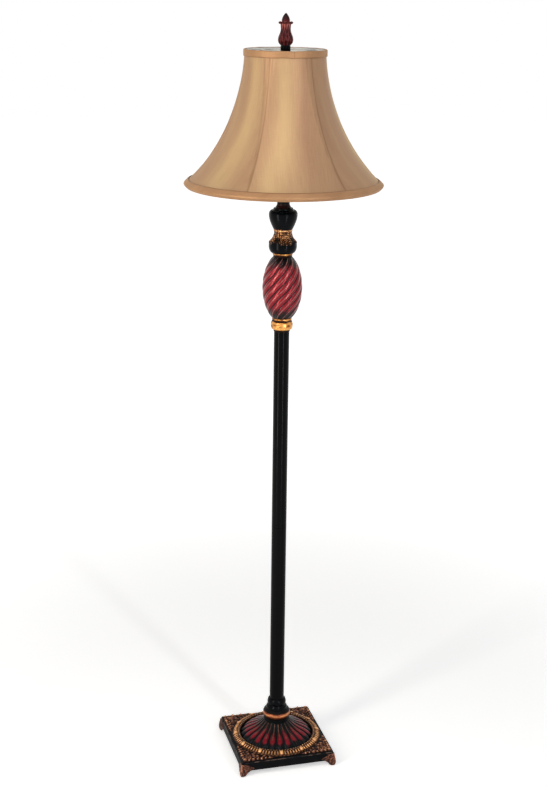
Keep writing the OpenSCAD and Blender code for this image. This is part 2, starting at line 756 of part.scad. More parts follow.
module harp_side() {
    bend_x = leg_x + harp_side_r * (1 - cos(harp_lean));
    bend_z = leg_top_z + harp_side_r * sin(harp_lean);
    short = 0.02;
    short_a = short / harp_side_r * 180 / PI;
    translate([leg_x, 0, harp_z]) cylinder(r = harp_r, h = harp_leg_h - short, $fn = 32);
    wire_arc(leg_x + harp_side_r, leg_top_z, harp_side_r, harp_r, 180 - harp_lean + short_a, 180);
    weld(leg_x, leg_top_z);
    weld(bend_x, bend_z);
}

module harp_wire() color("#c2a25c") {
    harp_side();
    mirror([1, 0, 0]) harp_side();
    wire_arc(0, harp_top_z - harp_top_r, harp_top_r, harp_r, -harp_lean, 180 + harp_lean);
}

// The seat that the spider's washer lies on, with the threaded stud above it
module harp_stud() color("#c2a25c") {
    seat_z = harp_top_z - 3.2;
    translate([0, 0, seat_z]) cylinder(r = stud_seat_r, h = stud_z - seat_z);
    translate([0, 0, stud_z - eps]) cylinder(r = stud_r, h = stud_l + eps);
}

module harp_sleeve(s) color("#d0b068")
    translate([s * leg_x, 0, harp_z + face_gap])
        tube(sleeve_r, sleeve_r - sleeve_bore_r, sleeve_l);

module harp_sleeve_left() harp_sleeve(-1);
module harp_sleeve_right() harp_sleeve(1);

module socket_cap() color("#c7a452") {
    rim_r = socket_r + 0.1 + socket_wall;
    shoulder = 6;
    difference() {
        turned([[rim_r - 6, 0], [rim_r - 1.4, shoulder], [rim_r, shoulder + 5],
            [rim_r, socket_cap_h]], cap_z, way_r);
        translate([0, 0, socket_wall])
            turned([[rim_r - 6.6, 0], [rim_r - 2.2, shoulder], [rim_r - socket_wall, shoulder + 5],
                [rim_r - socket_wall, socket_cap_h]], cap_z, 0);
    }
}

module socket_shell() color("#c7a452") difference() {
    turned([[socket_r, 0], [socket_r, socket_h * 0.62], [socket_r + 0.5, socket_h * 0.62 + 1.5],
        [socket_r, socket_h * 0.62 + 3], [socket_r, socket_h]], shell_z, socket_r - socket_wall);
    translate([0, 0, knob_z]) rotate([90, 0, 0]) cylinder(r = shaft_r + 1, h = socket_d);
}

module socket_liner() color("#b9a98a") difference() {
    translate([0, 0, shell_z + 2]) tube(liner_r, liner_t, socket_h - 3);
    translate([0, 0, knob_z]) rotate([90, 0, 0]) cylinder(r = shaft_r + 1, h = socket_d);
}

module socket_body() color("#1b1b1d") difference() {
    translate([0, 0, body_z]) cylinder(r = body_r, h = body_h);
    translate([0, 0, pocket_z]) cylinder(r = screw_r + screw_wall + 0.1, h = body_h);
    translate([0, -body_r + shaft_seat, knob_z]) rotate([90, 0, 0]) cylinder(r = shaft_r + run_gap, h = socket_d);
}

module screw_shell() color("#c8c8c4") translate([0, 0, pocket_z])
    tube(screw_r + screw_wall, screw_wall, screw_h);

// The outline of the bulb's glass, drawn in by an inset
module bulb_outline(inset) {
    crown_z = bulb_l - bulb_r;
    neck = bulb_cap_r - 0.5;
    swell = bulb_r - neck;
    polygon(concat(
        [[0, inset * 3], [neck - inset, inset * 3], [neck - inset, bulb_neck_h]],
        [for (i = [1 : 6]) [neck + swell * (1 - cos(30 * i)) / 2 - inset,
            bulb_neck_h + (crown_z - bulb_neck_h) * i / 6]],
        oval_run([0, crown_z], bulb_r - inset, bulb_r - inset, 10, 90, 8)
    ));
}

// Bulb: a hollow glass with a round crown, its screw cap and the contact under it
module bulb_glass() color("#f4f1e8") translate([0, 0, glass_z]) difference() {
    rotate_extrude() bulb_outline(0);
    rotate_extrude() bulb_outline(bulb_wall);
}

module bulb_cap() color("#c8c8c4") {
    translate([0, 0, bulb_cap_z]) difference() {
        turned([[bulb_cap_r - 4, 0], [bulb_cap_r, 4], [bulb_cap_r, bulb_cap_h]], 0, 0);
        turned([[bulb_cap_r - 5, 1], [bulb_cap_r - 1, 5], [bulb_cap_r - 1, bulb_cap_h + 1]], 0, 0);
    }
}

module bulb_contact() color("#d8b25a")
    translate([0, 0, pocket_z + face_gap]) cylinder(r = 4, h = bulb_cap_z - pocket_z - 2 * face_gap);

module switch_shaft() color("#d0b068")
    translate([0, -body_r + shaft_seat - face_gap, knob_z])
        rotate([90, 0, 0])
            cylinder(r = shaft_r, h = shaft_seat + socket_r - body_r + shaft_out);

module switch_knob() color("#151515") {
    knob_r = knob_d / 2;
    grips = 12;
    translate([0, -socket_r - 2, knob_z]) rotate([90, 0, 0]) difference() {
        turned([[knob_r - 1, 0], [knob_r, 1], [knob_r - 0.8, knob_l - 2], [knob_r - 2.6, knob_l]], 0, 0);
        translate([0, 0, -1]) cylinder(r = shaft_r + eps, h = shaft_out - 1 + face_gap);
        for (i = [0 : grips - 1]) rotate([0, 0, 360 * i / grips])
            translate([knob_r + 0.3, 0, 3]) cylinder(r = 0.9, h = knob_l);
    }
}

// ---- Shade ----

// A point of the shade's side: angle along the arc, and depth below the fabric's outer face
function shade_point(a, depth) = [
    arc_centre[0] - (shade_arc_r + depth) * cos(a),
    arc_centre[1] - (shade_arc_r + depth) * sin(a)
];

// A panel is pulled straight between its ribs, most of all half way up
function panel_share(t, v) = let (across = (t - 0.5) * panel_angle)
    1 - panel_flat * sin(180 * v) * (1 - cos(panel_angle / 2) / cos(across));

// How far the middle of a panel's flat sides lies inside a circle through the ribs
function panel_sag(r, v) = r * (1 - panel_share(0.5, v) * cos(180 / shade_sides));

function shade_loop(v, depth) = let (n = shade_sides,
    p = shade_point(arc_top + (arc_bottom - arc_top) * v, depth)) [
    for (j = [0 : n - 1]) let (
        r = p[0] * panel_share((j % panel_points) / panel_points, v),
        a = rib_turn + 360 * j / n
    ) [r * cos(a), r * sin(a), p[1]]
];

// A thin shell between two depths below the fabric's outer face, open at top and bottom
module panel_shell(depth, wall) {
    n = shade_sides;
    m = panel_rings + 1;
    points = [for (d = [depth, depth + wall]) for (i = [0 : panel_rings])
        each shade_loop(i / panel_rings, d)];
    function at(layer, i, j) = (layer * m + i) * n + j % n;
    function quad(p, q, r, s) = [[p, q, r], [p, r, s]];
    faces = [for (j = [0 : n - 1]) each concat(
        [for (i = [0 : m - 2]) each quad(at(0, i, j), at(0, i, j + 1), at(0, i + 1, j + 1), at(0, i + 1, j))],
        [for (i = [0 : m - 2]) each quad(at(1, i, j), at(1, i + 1, j), at(1, i + 1, j + 1), at(1, i, j + 1))],
        quad(at(0, 0, j), at(1, 0, j), at(1, 0, j + 1), at(0, 0, j + 1)),
        quad(at(0, m - 1, j), at(0, m - 1, j + 1), at(1, m - 1, j + 1), at(1, m - 1, j))
    )];
    polyhedron(points = points, faces = faces, convexity = 8);
}

module shade_cover() color("#c9a87c") panel_shell(0, cover_t);

module shade_lining() color("#f3f0e8") difference() {
    panel_shell(lining_in, lining_t);
    spider_arm_rods(spider_wire_d / 2 + seat_gap);
}

module wire_ring(a) {
    p = shade_point(a, ring_in);
    rotate_extrude() translate(p) circle(r = ring_wire_d / 2, $fn = 32);
}

// Two rings joined by a bent rib at each seam
module shade_frame() color("#c9c9c4") {
    wire_ring(top_ring_a);
    wire_ring(bottom_ring_a);
    for (i = [0 : shade_panels - 1]) rotate([0, 0, rib_turn + i * panel_angle])
        wire_arc(arc_centre[0], arc_centre[1], shade_arc_r + rib_in, rib_wire_d / 2,
            180 + top_ring_a - rib_past_ring, 180 + bottom_ring_a + rib_past_ring);
}

// Rods from the spider's washer up to the middle of the top ring's wire
module spider_arm_rods(r) {
    ring_p = shade_point(top_ring_a, ring_in);
    arm_z = washer_z0 + washer_t / 2;
    rise = ring_p[1] - arm_z;
    run = ring_p[0] - spider_washer_r + 2;
    for (i = [0 : spider_arms - 1]) rotate([0, 0, rib_turn + i * 360 / spider_arms])
        translate([spider_washer_r - 2, 0, arm_z])
            rotate([0, 90 - atan2(rise, run), 0]) cylinder(r = r, h = norm([run, rise]), $fn = 32);
}

// A washer on the harp's stud, with arms that rise to the top ring
module spider() color("#c9c9c4") {
    translate([0, 0, washer_z0]) tube(spider_washer_r, spider_washer_r - washer_bore_r, washer_t);
    spider_arm_rods(spider_wire_d / 2);
}

// A folded band over the top edge: an outer face, a round fold and a short inner face
module top_trim() color("#bd9468") {
    outer_r = shade_point(arc_top + 1.9, 0)[0] + 0.15;
    inner_r = shade_point(arc_top, trim_in)[0] * cos(180 / shade_sides) - seat_gap;
    top_z = shade_top_z + seat_gap;
    difference() {
        rotate_extrude() polygon([
            [outer_r + trim_t * 0.7, top_z + trim_t - top_trim_h],
            [outer_r + trim_t, top_z + 3 - top_trim_h], [outer_r + trim_t, top_z - 2],
            [outer_r + trim_t * 0.5, top_z + trim_t * 0.8], [outer_r - 1, top_z + trim_t],
            [inner_r + 1, top_z + trim_t], [inner_r - trim_t * 0.6, top_z + trim_t * 0.8],
            [inner_r - trim_t, top_z], [inner_r - trim_t, top_z - top_fold],
            [inner_r, top_z - top_fold], [inner_r, top_z], [outer_r, top_z],
            [outer_r, top_z + trim_t - top_trim_h]
        ]);
        spider_arm_rods(spider_wire_d / 2 + seat_gap);
    }
}

// The same fold round the bottom edge, following the shade's slope
module bottom_trim() color("#bd9468") {
    span = bottom_trim_w / shade_arc_r * 180 / PI;
    overhang = seat_gap / shade_arc_r * 180 / PI;
    turn_a = trim_t / shade_arc_r * 180 / PI;
    a0 = arc_bottom - span;
    a1 = arc_bottom + overhang;
    steps = 4;
    fold = 2;
    v = 1 - fold / steps * span / (arc_bottom - arc_top);
    inner = trim_in + seat_gap + panel_sag(shade_bottom_r, v);
    out = -0.35;
    rotate_extrude() polygon(concat(
        [for (i = [0 : steps]) shade_point(a0 + span * i / steps, out - trim_t)],
        [shade_point(a1 + turn_a, out), shade_point(a1 + turn_a, inner)],
        [for (i = [steps : -1 : steps - fold]) shade_point(a0 + span * i / steps, inner + trim_t)],
        [for (i = [steps - fold : steps]) shade_point(a0 + span * i / steps, inner)],
        [shade_point(a1, inner), shade_point(a1, out)],
        [for (i = [steps : -1 : 0]) shade_point(a0 + span * i / steps, out)]
    ));
}

// ---- Finial ----

module finial_base() color("#0f0f12") difference() {
    turned([[finial_base_r - 0.6, 0], [finial_base_r, 1], [finial_base_r, finial_base_h - 1.5],
        [finial_base_r - 0.8, finial_base_h]], finial_base_z, 0);
    translate([0, 0, finial_base_z - 1]) cylinder(r = bush_r + run_gap, h = bush_l + 1 + face_gap);
    translate([0, 0, finial_base_z]) cylinder(r = stud_r + seat_gap, h = stud_hole_h);
}

module finial_bush() color("#d0b068") translate([0, 0, finial_base_z])
    tube(bush_r, bush_r - stud_r - run_gap, bush_l);

// A carved bud: a bulb with leaves round it, a narrow neck, a ring of knobs and a pointed crown
module finial() color("#571a1e") {
    neck = finial_bulb_r * 0.62;
    bulb_z = finial_h * 0.17;
    neck_at = finial_h * 0.52;
    knob_at = finial_h * 0.685;
    knob_size = finial_bulb_r * 0.25;
    leaves = finial_knobs;
    turned(concat(
        [[finial_base_r, 0], [finial_bulb_r * 0.85, finial_h * 0.07]],
        oval_run([finial_bulb_r * 0.6, bulb_z], finial_bulb_r * 0.37, finial_h * 0.12, -50, 70, 8),
        [[neck + 1.3, finial_h * 0.36], [neck, finial_h * 0.45], [neck - 0.2, neck_at],
         [neck + 1.6, knob_at - 3], [neck + 2.6, knob_at]],
        oval_run([0, knob_at], neck + 2, finial_h - knob_at, 10, 88, 7),
        [[0, finial_h]]
    ), finial_z, 0);
    for (i = [0 : finial_knobs - 1]) rotate([0, 0, 360 * i / finial_knobs]) {
        translate([finial_bulb_r - knob_size, 0, finial_z + knob_at]) sphere(r = knob_size, $fn = 24);
        translate([neck - 0.8, 0, finial_z + neck_at - 5])
            rotate([0, 76, 0]) leaf(finial_h * 0.36, 9, 2.6);
    }
}

base_slab();
foot_front_left();
foot_front_right();
foot_back_right();
foot_back_left();
corner_front_left();
corner_front_right();
corner_back_right();
corner_back_left();
base_ring();
base_dome();
dome_band();
gold_ring();
pole_cup();
base_weight();
base_cover();
base_pipe();
base_washer();
base_nut();
cord_bushing();
lower_pole();
upper_pole();
pole_joint();
pole_plugs();
egg_collar();
fluted_egg();
egg_ring();
bowl();
leaf_collar();
urn();
urn_disc();
neck_foot();
neck_tube();
top_pipe();
harp_saddle();
harp_wire();
harp_stud();
harp_sleeve_left();
harp_sleeve_right();
socket_cap();
socket_shell();
socket_liner();
socket_body();
screw_shell();
switch_knob();
switch_shaft();
bulb_glass();
bulb_cap();
bulb_contact();
spider();
shade_frame();
shade_cover();
shade_lining();
top_trim();
bottom_trim();
finial();
finial_base();
finial_bush();
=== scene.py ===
# Candlestick floor lamp: the look of every piece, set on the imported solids.
# Sizes in the making of a piece are in millimetres; a mesh is turned to metres as it is made.
import json
from math import atan2, ceil, cos, degrees, hypot, pi, radians, sin, sqrt

import bmesh
import bpy
import numpy as np
from mathutils import Matrix, Vector, noise


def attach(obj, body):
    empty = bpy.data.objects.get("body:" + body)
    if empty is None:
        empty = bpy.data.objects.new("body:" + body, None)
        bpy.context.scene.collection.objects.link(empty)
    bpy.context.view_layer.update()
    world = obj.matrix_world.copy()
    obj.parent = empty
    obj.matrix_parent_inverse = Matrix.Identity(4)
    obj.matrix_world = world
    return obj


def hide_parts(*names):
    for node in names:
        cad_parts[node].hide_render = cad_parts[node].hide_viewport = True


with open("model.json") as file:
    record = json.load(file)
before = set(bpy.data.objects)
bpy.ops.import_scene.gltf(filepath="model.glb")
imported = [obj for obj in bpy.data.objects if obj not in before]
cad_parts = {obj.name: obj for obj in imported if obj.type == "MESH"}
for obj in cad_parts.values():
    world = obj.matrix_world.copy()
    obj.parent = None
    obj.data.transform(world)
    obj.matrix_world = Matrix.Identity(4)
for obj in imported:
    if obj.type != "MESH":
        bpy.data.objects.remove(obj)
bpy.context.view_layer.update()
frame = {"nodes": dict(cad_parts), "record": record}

MM = 0.001
PER_MM = 1000.0  # a pattern scale of PER_MM / size repeats about once in that many millimetres

# ---- Sizes, as the solids have them ----

BASE_HALF, SLAB_BEVEL, SLAB_FOOT, SLAB_TOP = 104.0, 1.5, 12.5, 33.0
DOME_R, DOME_TOP_R, DOME_H, LOBES, LOBE_DEPTH = 81.5, 28.4, 40.0, 24, 4.6
RING_IN_R, RING_OUT_R, RING_H, RING_BOSSES = 81.8, 98.4, 10.5, 12
HALF_ROUND_Z, EGG_RING_Z = 79.0, 1122.0
EGG_Z, EGG_H, EGG_R, EGG_END_R, EGG_FLUTES, EGG_TWIST = 995.0, 127.0, 41.0, 20.0, 12, 180.0
EGG_COLLAR_Z, POLE_R, BORE_R = 967.0, 15.9, 7.0
COLLAR_Z, COLLAR_H = 1149.1, 30.9
SHADE_TOP_R, SHADE_BOTTOM_R, SHADE_TOP_Z, SHADE_BOTTOM_Z, SHADE_ARC_R = 80.3, 199.0, 1531.0, 1270.0, 384.5
CHORD_R, CHORD_Z = SHADE_BOTTOM_R - SHADE_TOP_R, SHADE_BOTTOM_Z - SHADE_TOP_Z
CHORD = hypot(CHORD_R, CHORD_Z)
CHORD_OFF = sqrt(SHADE_ARC_R**2 - CHORD**2 / 4)  # from the chord's middle to the arc's centre
ARC_CENTRE_R = (SHADE_TOP_R + SHADE_BOTTOM_R) / 2 - CHORD_Z / CHORD * CHORD_OFF
ARC_CENTRE_Z = (SHADE_TOP_Z + SHADE_BOTTOM_Z) / 2 + CHORD_R / CHORD * CHORD_OFF
ARC_TOP = degrees(np.arcsin((ARC_CENTRE_Z - SHADE_TOP_Z) / SHADE_ARC_R))
ARC_BOTTOM = degrees(np.arcsin((ARC_CENTRE_Z - SHADE_BOTTOM_Z) / SHADE_ARC_R))
PANELS, RIB_TURN = 6, -6.5
# each panel's bright band is a painted sheen
PAINTED_SHEEN_AT = 0.5, 0.4, 0.55, 0.6, 0.27, 0.85  # where each panel's bright band lies, as a share of its width
JOIN_ANGLE = -93.3  # where the top trim's ends lap
CLOTH_WALL = 0.75  # a trim's cloth with its stiffening
FINIAL_Z, FINIAL_H, FINIAL_R, FINIAL_KNOBS = 1538.8, 61.0, 15.0, 6

# ---- Small helpers ----


def linear(hex_text):
    """An sRGB hex colour as the linear one that a shader takes"""
    parts = [int(hex_text[i : i + 2], 16) / 255 for i in (1, 3, 5)]
    return tuple(c / 12.92 if c <= 0.04045 else ((c + 0.055) / 1.055) ** 2.4 for c in parts) + (1.0,)


def feed(tree, node, inputs):
    """Sets or links inputs: each is a value, a socket, or a node that gives its first output in use"""
    for name, value in inputs.items():
        if isinstance(value, bpy.types.Node):
            value = next(out for out in value.outputs if out.enabled)
        if isinstance(value, bpy.types.NodeSocket):
            tree.links.new(value, node.inputs[name])
        else:
            node.inputs[name].default_value = value


def add(tree, kind, inputs=None, stops=None, **settings):
    """Adds one node, with its settings, its inputs, and its ramp's stops as places and hex colours"""
    made = tree.nodes.new(kind)
    for name, value in settings.items():
        setattr(made, name, value)
    feed(tree, made, inputs or {})
    if stops:
        ramp = made.color_ramp
        ramp.elements.remove(ramp.elements[1])
        ramp.elements[0].position, ramp.elements[0].color = stops[0][0], linear(stops[0][1])
        for place, colour in stops[1:]:
            ramp.elements.new(place).color = linear(colour)
    return made


def new_finish(name, sockets):
    """A material whose shader's own sockets hold what is the same all over the surface"""
    material = bpy.data.materials.new(name)
    material.use_nodes = True
    tree = material.node_tree
    shader = tree.nodes["Principled BSDF"]
    feed(tree, shader, sockets)
    return material, tree, shader


def grey(level):
    return (level, level, level, 1.0)


def smooth_step(x, low, high):
    t = np.clip((np.asarray(x, float) - low) / (high - low), 0, 1)
    return t * t * (3 - 2 * t)


def bell(x, width):
    """1 where x is 0, falling away on both sides"""
    return np.exp(-((x / width) ** 2))


def noise_at(x, y, z):
    """Smooth noise, -1 to 1, at each of the points that x, y and z give; one of them may be a number"""
    return np.array([noise.noise(Vector(p)) for p in zip(*np.broadcast_arrays(x, y, z))])


def noise_round(a, reach, z):
    """Smooth noise at the angles a on a circle, so that it closes; the larger the reach, the finer it is"""
    return noise_at(reach * np.cos(a), reach * np.sin(a), z)


def circle(n):
    return np.linspace(0, 2 * pi, n, endpoint=False)


def ring_row(a, r, z):
    """Points round the pole's axis at the angles a; r and z are numbers or have a value for each angle"""
    return np.stack(np.broadcast_arrays(r * np.cos(a), r * np.sin(a), z), -1)


def square_row(n):
    """Points round a square whose half side is 1, n to a side"""
    side, one = np.linspace(-1, 1, n, endpoint=False), np.ones(n)
    sides = (side, -one), (one, side), (-side, one), (-one, -side)
    return np.concatenate([np.stack(pair, -1) for pair in sides])


# ---- Finishes ----


def black_lacquer(name, tint, specular):
    """Sprayed black lacquer on turned wood and steel tube: deep and glossy, with a faint orange peel,
    a slow drift between cool and warm black, and duller where hands have rubbed it"""
    material, tree, shader = new_finish(name, {"Specular IOR Level": specular})
    place = add(tree, "ShaderNodeTexCoord").outputs["Object"]
    drift = add(tree, "ShaderNodeTexNoise", {"Vector": place, "Scale": PER_MM / 28, "Detail": 3.0})
    tone = add(tree, "ShaderNodeValToRGB", {"Fac": drift}, stops=[(0.3, "#040506"), (0.62, tint)])
    rub = add(tree, "ShaderNodeTexNoise", {"Vector": place, "Scale": PER_MM / 9, "Detail": 4.0})
    dull = add(tree, "ShaderNodeMapRange", {"Value": rub, "From Min": 0.35, "From Max": 0.75, "To Min": 0.12,
                                            "To Max": 0.24})
    peel = add(tree, "ShaderNodeTexNoise", {"Vector": place, "Scale": PER_MM / 1.6, "Detail": 2.0})
    bump = add(tree, "ShaderNodeBump", {"Height": peel, "Strength": 0.25, "Distance": 0.03 * MM})
    feed(tree, shader, {"Base Color": tone, "Roughness": dull, "Normal": bump})
    return material


def rubbed_metal(name, deep, body, crest, roughness=0.34, metallic=0.85, mottle=0.5, wash=0.35, specular=0.3,
                 stipple=0.0):
    """Cast resin or metal, gilded or bronzed, washed with dark glaze and wiped: the glaze stays in the
    hollows, the leaf shines on the crests. Reads the piece's relief, 0 in a hollow and 1 on a crest.
    A stippled surface has raised dots about 3.4 mm apart, each with its own bright top"""
    material, tree, shader = new_finish(name, {"Metallic": metallic, "Specular IOR Level": specular})
    place = add(tree, "ShaderNodeTexCoord").outputs["Object"]
    relief = add(tree, "ShaderNodeAttribute", attribute_name="relief").outputs["Fac"]
    patch = add(tree, "ShaderNodeTexNoise", {"Vector": place, "Scale": PER_MM / 7, "Detail": 5.0,
                                             "Roughness": 0.62})
    speck = add(tree, "ShaderNodeTexNoise", {"Vector": place, "Scale": PER_MM / 2.2, "Detail": 2.0})
    uneven = add(tree, "ShaderNodeMath", {0: patch, 1: speck}, operation="ADD")
    centred = add(tree, "ShaderNodeMath", {0: uneven, 1: 1.0}, operation="SUBTRACT")
    wiped = add(tree, "ShaderNodeMath", {0: centred, 1: mottle, 2: relief}, operation="MULTIPLY_ADD")
    raised, raised_mm = speck, 0.12
    if stipple:
        dots = add(tree, "ShaderNodeTexVoronoi", {"Vector": place, "Scale": PER_MM / 3.4, "Randomness": 0.35})
        top = add(tree, "ShaderNodeMapRange", {"Value": dots, "From Min": 0.15, "From Max": 0.55,
                                               "To Min": stipple, "To Max": -stipple})
        wiped = add(tree, "ShaderNodeMath", {0: wiped, 1: top}, operation="ADD")
        raised, raised_mm = top, 0.5
    tone = add(tree, "ShaderNodeValToRGB", {"Fac": wiped},
               stops=[(0.12, deep), (wash + 0.15, body), (0.92, crest)])
    shine = add(tree, "ShaderNodeMapRange", {"Value": wiped, "From Min": 0.1, "From Max": 0.9,
                                             "To Min": roughness + 0.25, "To Max": roughness})
    bump = add(tree, "ShaderNodeBump", {"Height": raised, "Strength": 0.45, "Distance": raised_mm * MM})
    feed(tree, shader, {"Base Color": tone, "Roughness": shine, "Normal": bump})
    return material


def glazed_red(name, glaze, crest_wear_and_painted_highlight, thin, thick, low_mask, high_mask, crest_from, coat):
    """Red metallic paint under a dark green-black glaze: the paint glows on the ribs, the glaze fills
    the grooves and both ends. The piece's tone runs from 0, all glaze, to 1, all paint"""
    material, tree, shader = new_finish(name, {"Metallic": 0.35, "Specular IOR Level": 0.3 * coat,
                                               "Coat Weight": coat, "Coat Roughness": 0.14})
    place = add(tree, "ShaderNodeTexCoord").outputs["Object"]
    tone_in = add(tree, "ShaderNodeAttribute", attribute_name="tone").outputs["Fac"]
    relief = add(tree, "ShaderNodeAttribute", attribute_name="relief").outputs["Fac"]
    patch = add(tree, "ShaderNodeTexNoise", {"Vector": place, "Scale": PER_MM / 9, "Detail": 5.0,
                                             "Roughness": 0.6})
    groove = add(tree, "ShaderNodeMapRange", {"Value": relief, "From Min": low_mask, "From Max": high_mask})
    paint = add(tree, "ShaderNodeMath", {0: tone_in, 1: groove}, operation="MULTIPLY")
    shift = add(tree, "ShaderNodeMath", {0: patch, 1: 0.5}, operation="SUBTRACT")
    wiped = add(tree, "ShaderNodeMath", {0: shift, 1: 0.32, 2: paint}, operation="MULTIPLY_ADD")
    red = add(tree, "ShaderNodeValToRGB", {"Fac": wiped},
              stops=[(0.02, glaze), (0.32, "#1e0509"), (0.64, thin), (0.98, thick)])
    # Worn ridges: on the crest of a rib the glaze is rubbed off down to a grey-brown undercoat; on the egg
    # the pale crest line is partly a painted highlight
    crest = add(tree, "ShaderNodeMapRange", {"Value": relief, "From Min": crest_from, "From Max": 0.995})
    wear_and_painted_highlight = add(tree, "ShaderNodeTexNoise", {"Vector": place, "Scale": PER_MM / 4, "Detail": 4.0})
    rubbed = add(tree, "ShaderNodeMath", {0: crest, 1: wear_and_painted_highlight}, operation="MULTIPLY")
    amount = add(tree, "ShaderNodeMapRange", {"Value": rubbed, "From Min": 0.25, "From Max": 0.6,
                                              "To Max": 0.75})
    colour = add(tree, "ShaderNodeMix", {"Factor": amount, "A": red, "B": linear(crest_wear_and_painted_highlight)}, data_type="RGBA")
    dull = add(tree, "ShaderNodeMapRange", {"Value": wiped, "To Min": 0.4, "To Max": 0.25})
    bump = add(tree, "ShaderNodeBump", {"Height": patch, "Strength": 0.3, "Distance": 0.15 * MM})
    feed(tree, shader, {"Base Color": colour, "Roughness": dull, "Normal": bump})
    return material


def satin(name, pale, deep, roughness, slub_mm):
    """Polyester satin with a silk look: long floats run down each panel, and thicker threads show as slubs. A
    soft vertical band on each panel is painted lighter and more gold, a painted sheen that each piece places
    with its own value. A thread of 0.2 mm is too fine for the picture, so slubs are drawn a millimetre or two
    wide. Follows the cloth's own map, in metres"""
    material, tree, shader = new_finish(name, {"Metallic": 0.22, "Specular IOR Level": 0.2,
                                               "Specular Tint": linear("#ffdf9e"), "Sheen Weight": 0.03,
                                               "Sheen Roughness": 0.4, "Sheen Tint": linear("#f0dcb8")})
    cloth = add(tree, "ShaderNodeUVMap", uv_map="cloth")
    threads = add(tree, "ShaderNodeMapping", {"Vector": cloth, "Scale": (PER_MM / slub_mm, PER_MM / 45, 1.0)})
    slub = add(tree, "ShaderNodeTexNoise", {"Vector": threads, "Scale": 1.0, "Detail": 3.0, "Roughness": 0.7})
    picks = add(tree, "ShaderNodeMapping", {"Vector": cloth, "Scale": (PER_MM / 20, PER_MM / 0.9, 1.0)})
    weft = add(tree, "ShaderNodeTexNoise", {"Vector": picks, "Scale": 1.0, "Detail": 1.0})
    drape = add(tree, "ShaderNodeMapping", {"Vector": cloth, "Scale": (PER_MM / 34, PER_MM / 240, 1.0)})
    cloud = add(tree, "ShaderNodeTexNoise", {"Vector": drape, "Scale": 1.0, "Detail": 2.0})
    light = add(tree, "ShaderNodeMath", {0: slub, 1: 0.4}, operation="MULTIPLY")
    cross = add(tree, "ShaderNodeMath", {0: weft, 1: 0.12, 2: light}, operation="MULTIPLY_ADD")
    broad = add(tree, "ShaderNodeMath", {0: cloud, 1: 0.36, 2: cross}, operation="MULTIPLY_ADD")
    # the painted sheen band lifts the cloth's tone towards pale gold
    painted_glow = add(tree, "ShaderNodeAttribute", attribute_name="painted_glow").outputs["Fac"]
    lit = add(tree, "ShaderNodeMath", {0: painted_glow, 1: 0.34, 2: broad}, operation="MULTIPLY_ADD")
    tone = add(tree, "ShaderNodeValToRGB", {"Fac": lit}, stops=[(0.34, deep), (0.8, pale)])
    # darker along the seams, and along the trims' edges and lap: partly the seams themselves, partly painted
    # shade
    seam = add(tree, "ShaderNodeAttribute", attribute_name="seam").outputs["Fac"]
    shaded = add(tree, "ShaderNodeMix", {"Factor": seam, "A": tone, "B": linear("#7a583f")}, data_type="RGBA")
    height = add(tree, "ShaderNodeMath", {0: slub, 1: weft}, operation="ADD")
    bump = add(tree, "ShaderNodeBump", {"Height": height, "Strength": 0.25, "Distance": 0.1 * MM})
    rough = add(tree, "ShaderNodeMapRange", {"Value": slub, "From Min": 0.3, "From Max": 0.7,
                                             "To Min": roughness - 0.05, "To Max": roughness + 0.08})
    feed(tree, shader, {"Base Color": shaded, "Roughness": rough, "Normal": bump})
    return material


def plain_cloth(name, pale, deep, thread_mm):
    """A plain weave, matt, with each thread crossing over the next. Follows the cloth's own map"""
    material, tree, shader = new_finish(name, {"Specular IOR Level": 0.25, "Sheen Weight": 0.2,
                                               "Sheen Roughness": 0.6, "Roughness": 0.8})
    cloth = add(tree, "ShaderNodeUVMap", uv_map="cloth")
    weave = add(tree, "ShaderNodeTexBrick", {
        "Vector": cloth, "Scale": PER_MM / thread_mm, "Mortar Size": 0.06, "Color1": grey(0.9),
        "Color2": grey(0.6), "Mortar": grey(0.1), "Brick Width": 1.0, "Row Height": 0.5})
    cloud = add(tree, "ShaderNodeTexNoise", {"Vector": cloth, "Scale": PER_MM / 30, "Detail": 4.0})
    tone = add(tree, "ShaderNodeValToRGB", {"Fac": cloud}, stops=[(0.35, deep), (0.65, pale)])
    colour = add(tree, "ShaderNodeMix", {"Factor": 0.08, "A": tone, "B": weave}, data_type="RGBA",
                 blend_type="MULTIPLY")
    bump = add(tree, "ShaderNodeBump", {"Height": weave, "Strength": 0.3, "Distance": 0.08 * MM})
    feed(tree, shader, {"Base Color": colour, "Normal": bump})
    return material


def grained(name, low, high, grain_mm, sockets, bump_mm, roughness, stretch=(1, 1, 1)):
    """A surface whose colour, gloss and height drift with its own grain, as cast, drawn, moulded or felted
    stock does; stretch draws the grain out along the way that it was worked"""
    material, tree, shader = new_finish(name, sockets)
    place = add(tree, "ShaderNodeTexCoord").outputs["Object"]
    drawn = add(tree, "ShaderNodeMapping", {"Vector": place, "Scale": stretch})
    grain = add(tree, "ShaderNodeTexNoise", {"Vector": drawn, "Scale": PER_MM / grain_mm, "Detail": 5.0,
                                             "Roughness": 0.6})
    tone = add(tree, "ShaderNodeValToRGB", {"Fac": grain}, stops=[(0.3, low), (0.7, high)])
    dull = add(tree, "ShaderNodeMapRange", {"Value": grain, "From Min": 0.3, "From Max": 0.7,
                                            "To Min": roughness[0], "To Max": roughness[1]})
    bump = add(tree, "ShaderNodeBump", {"Height": grain, "Strength": 0.5, "Distance": bump_mm * MM})
    feed(tree, shader, {"Base Color": tone, "Roughness": dull, "Normal": bump})
    return material


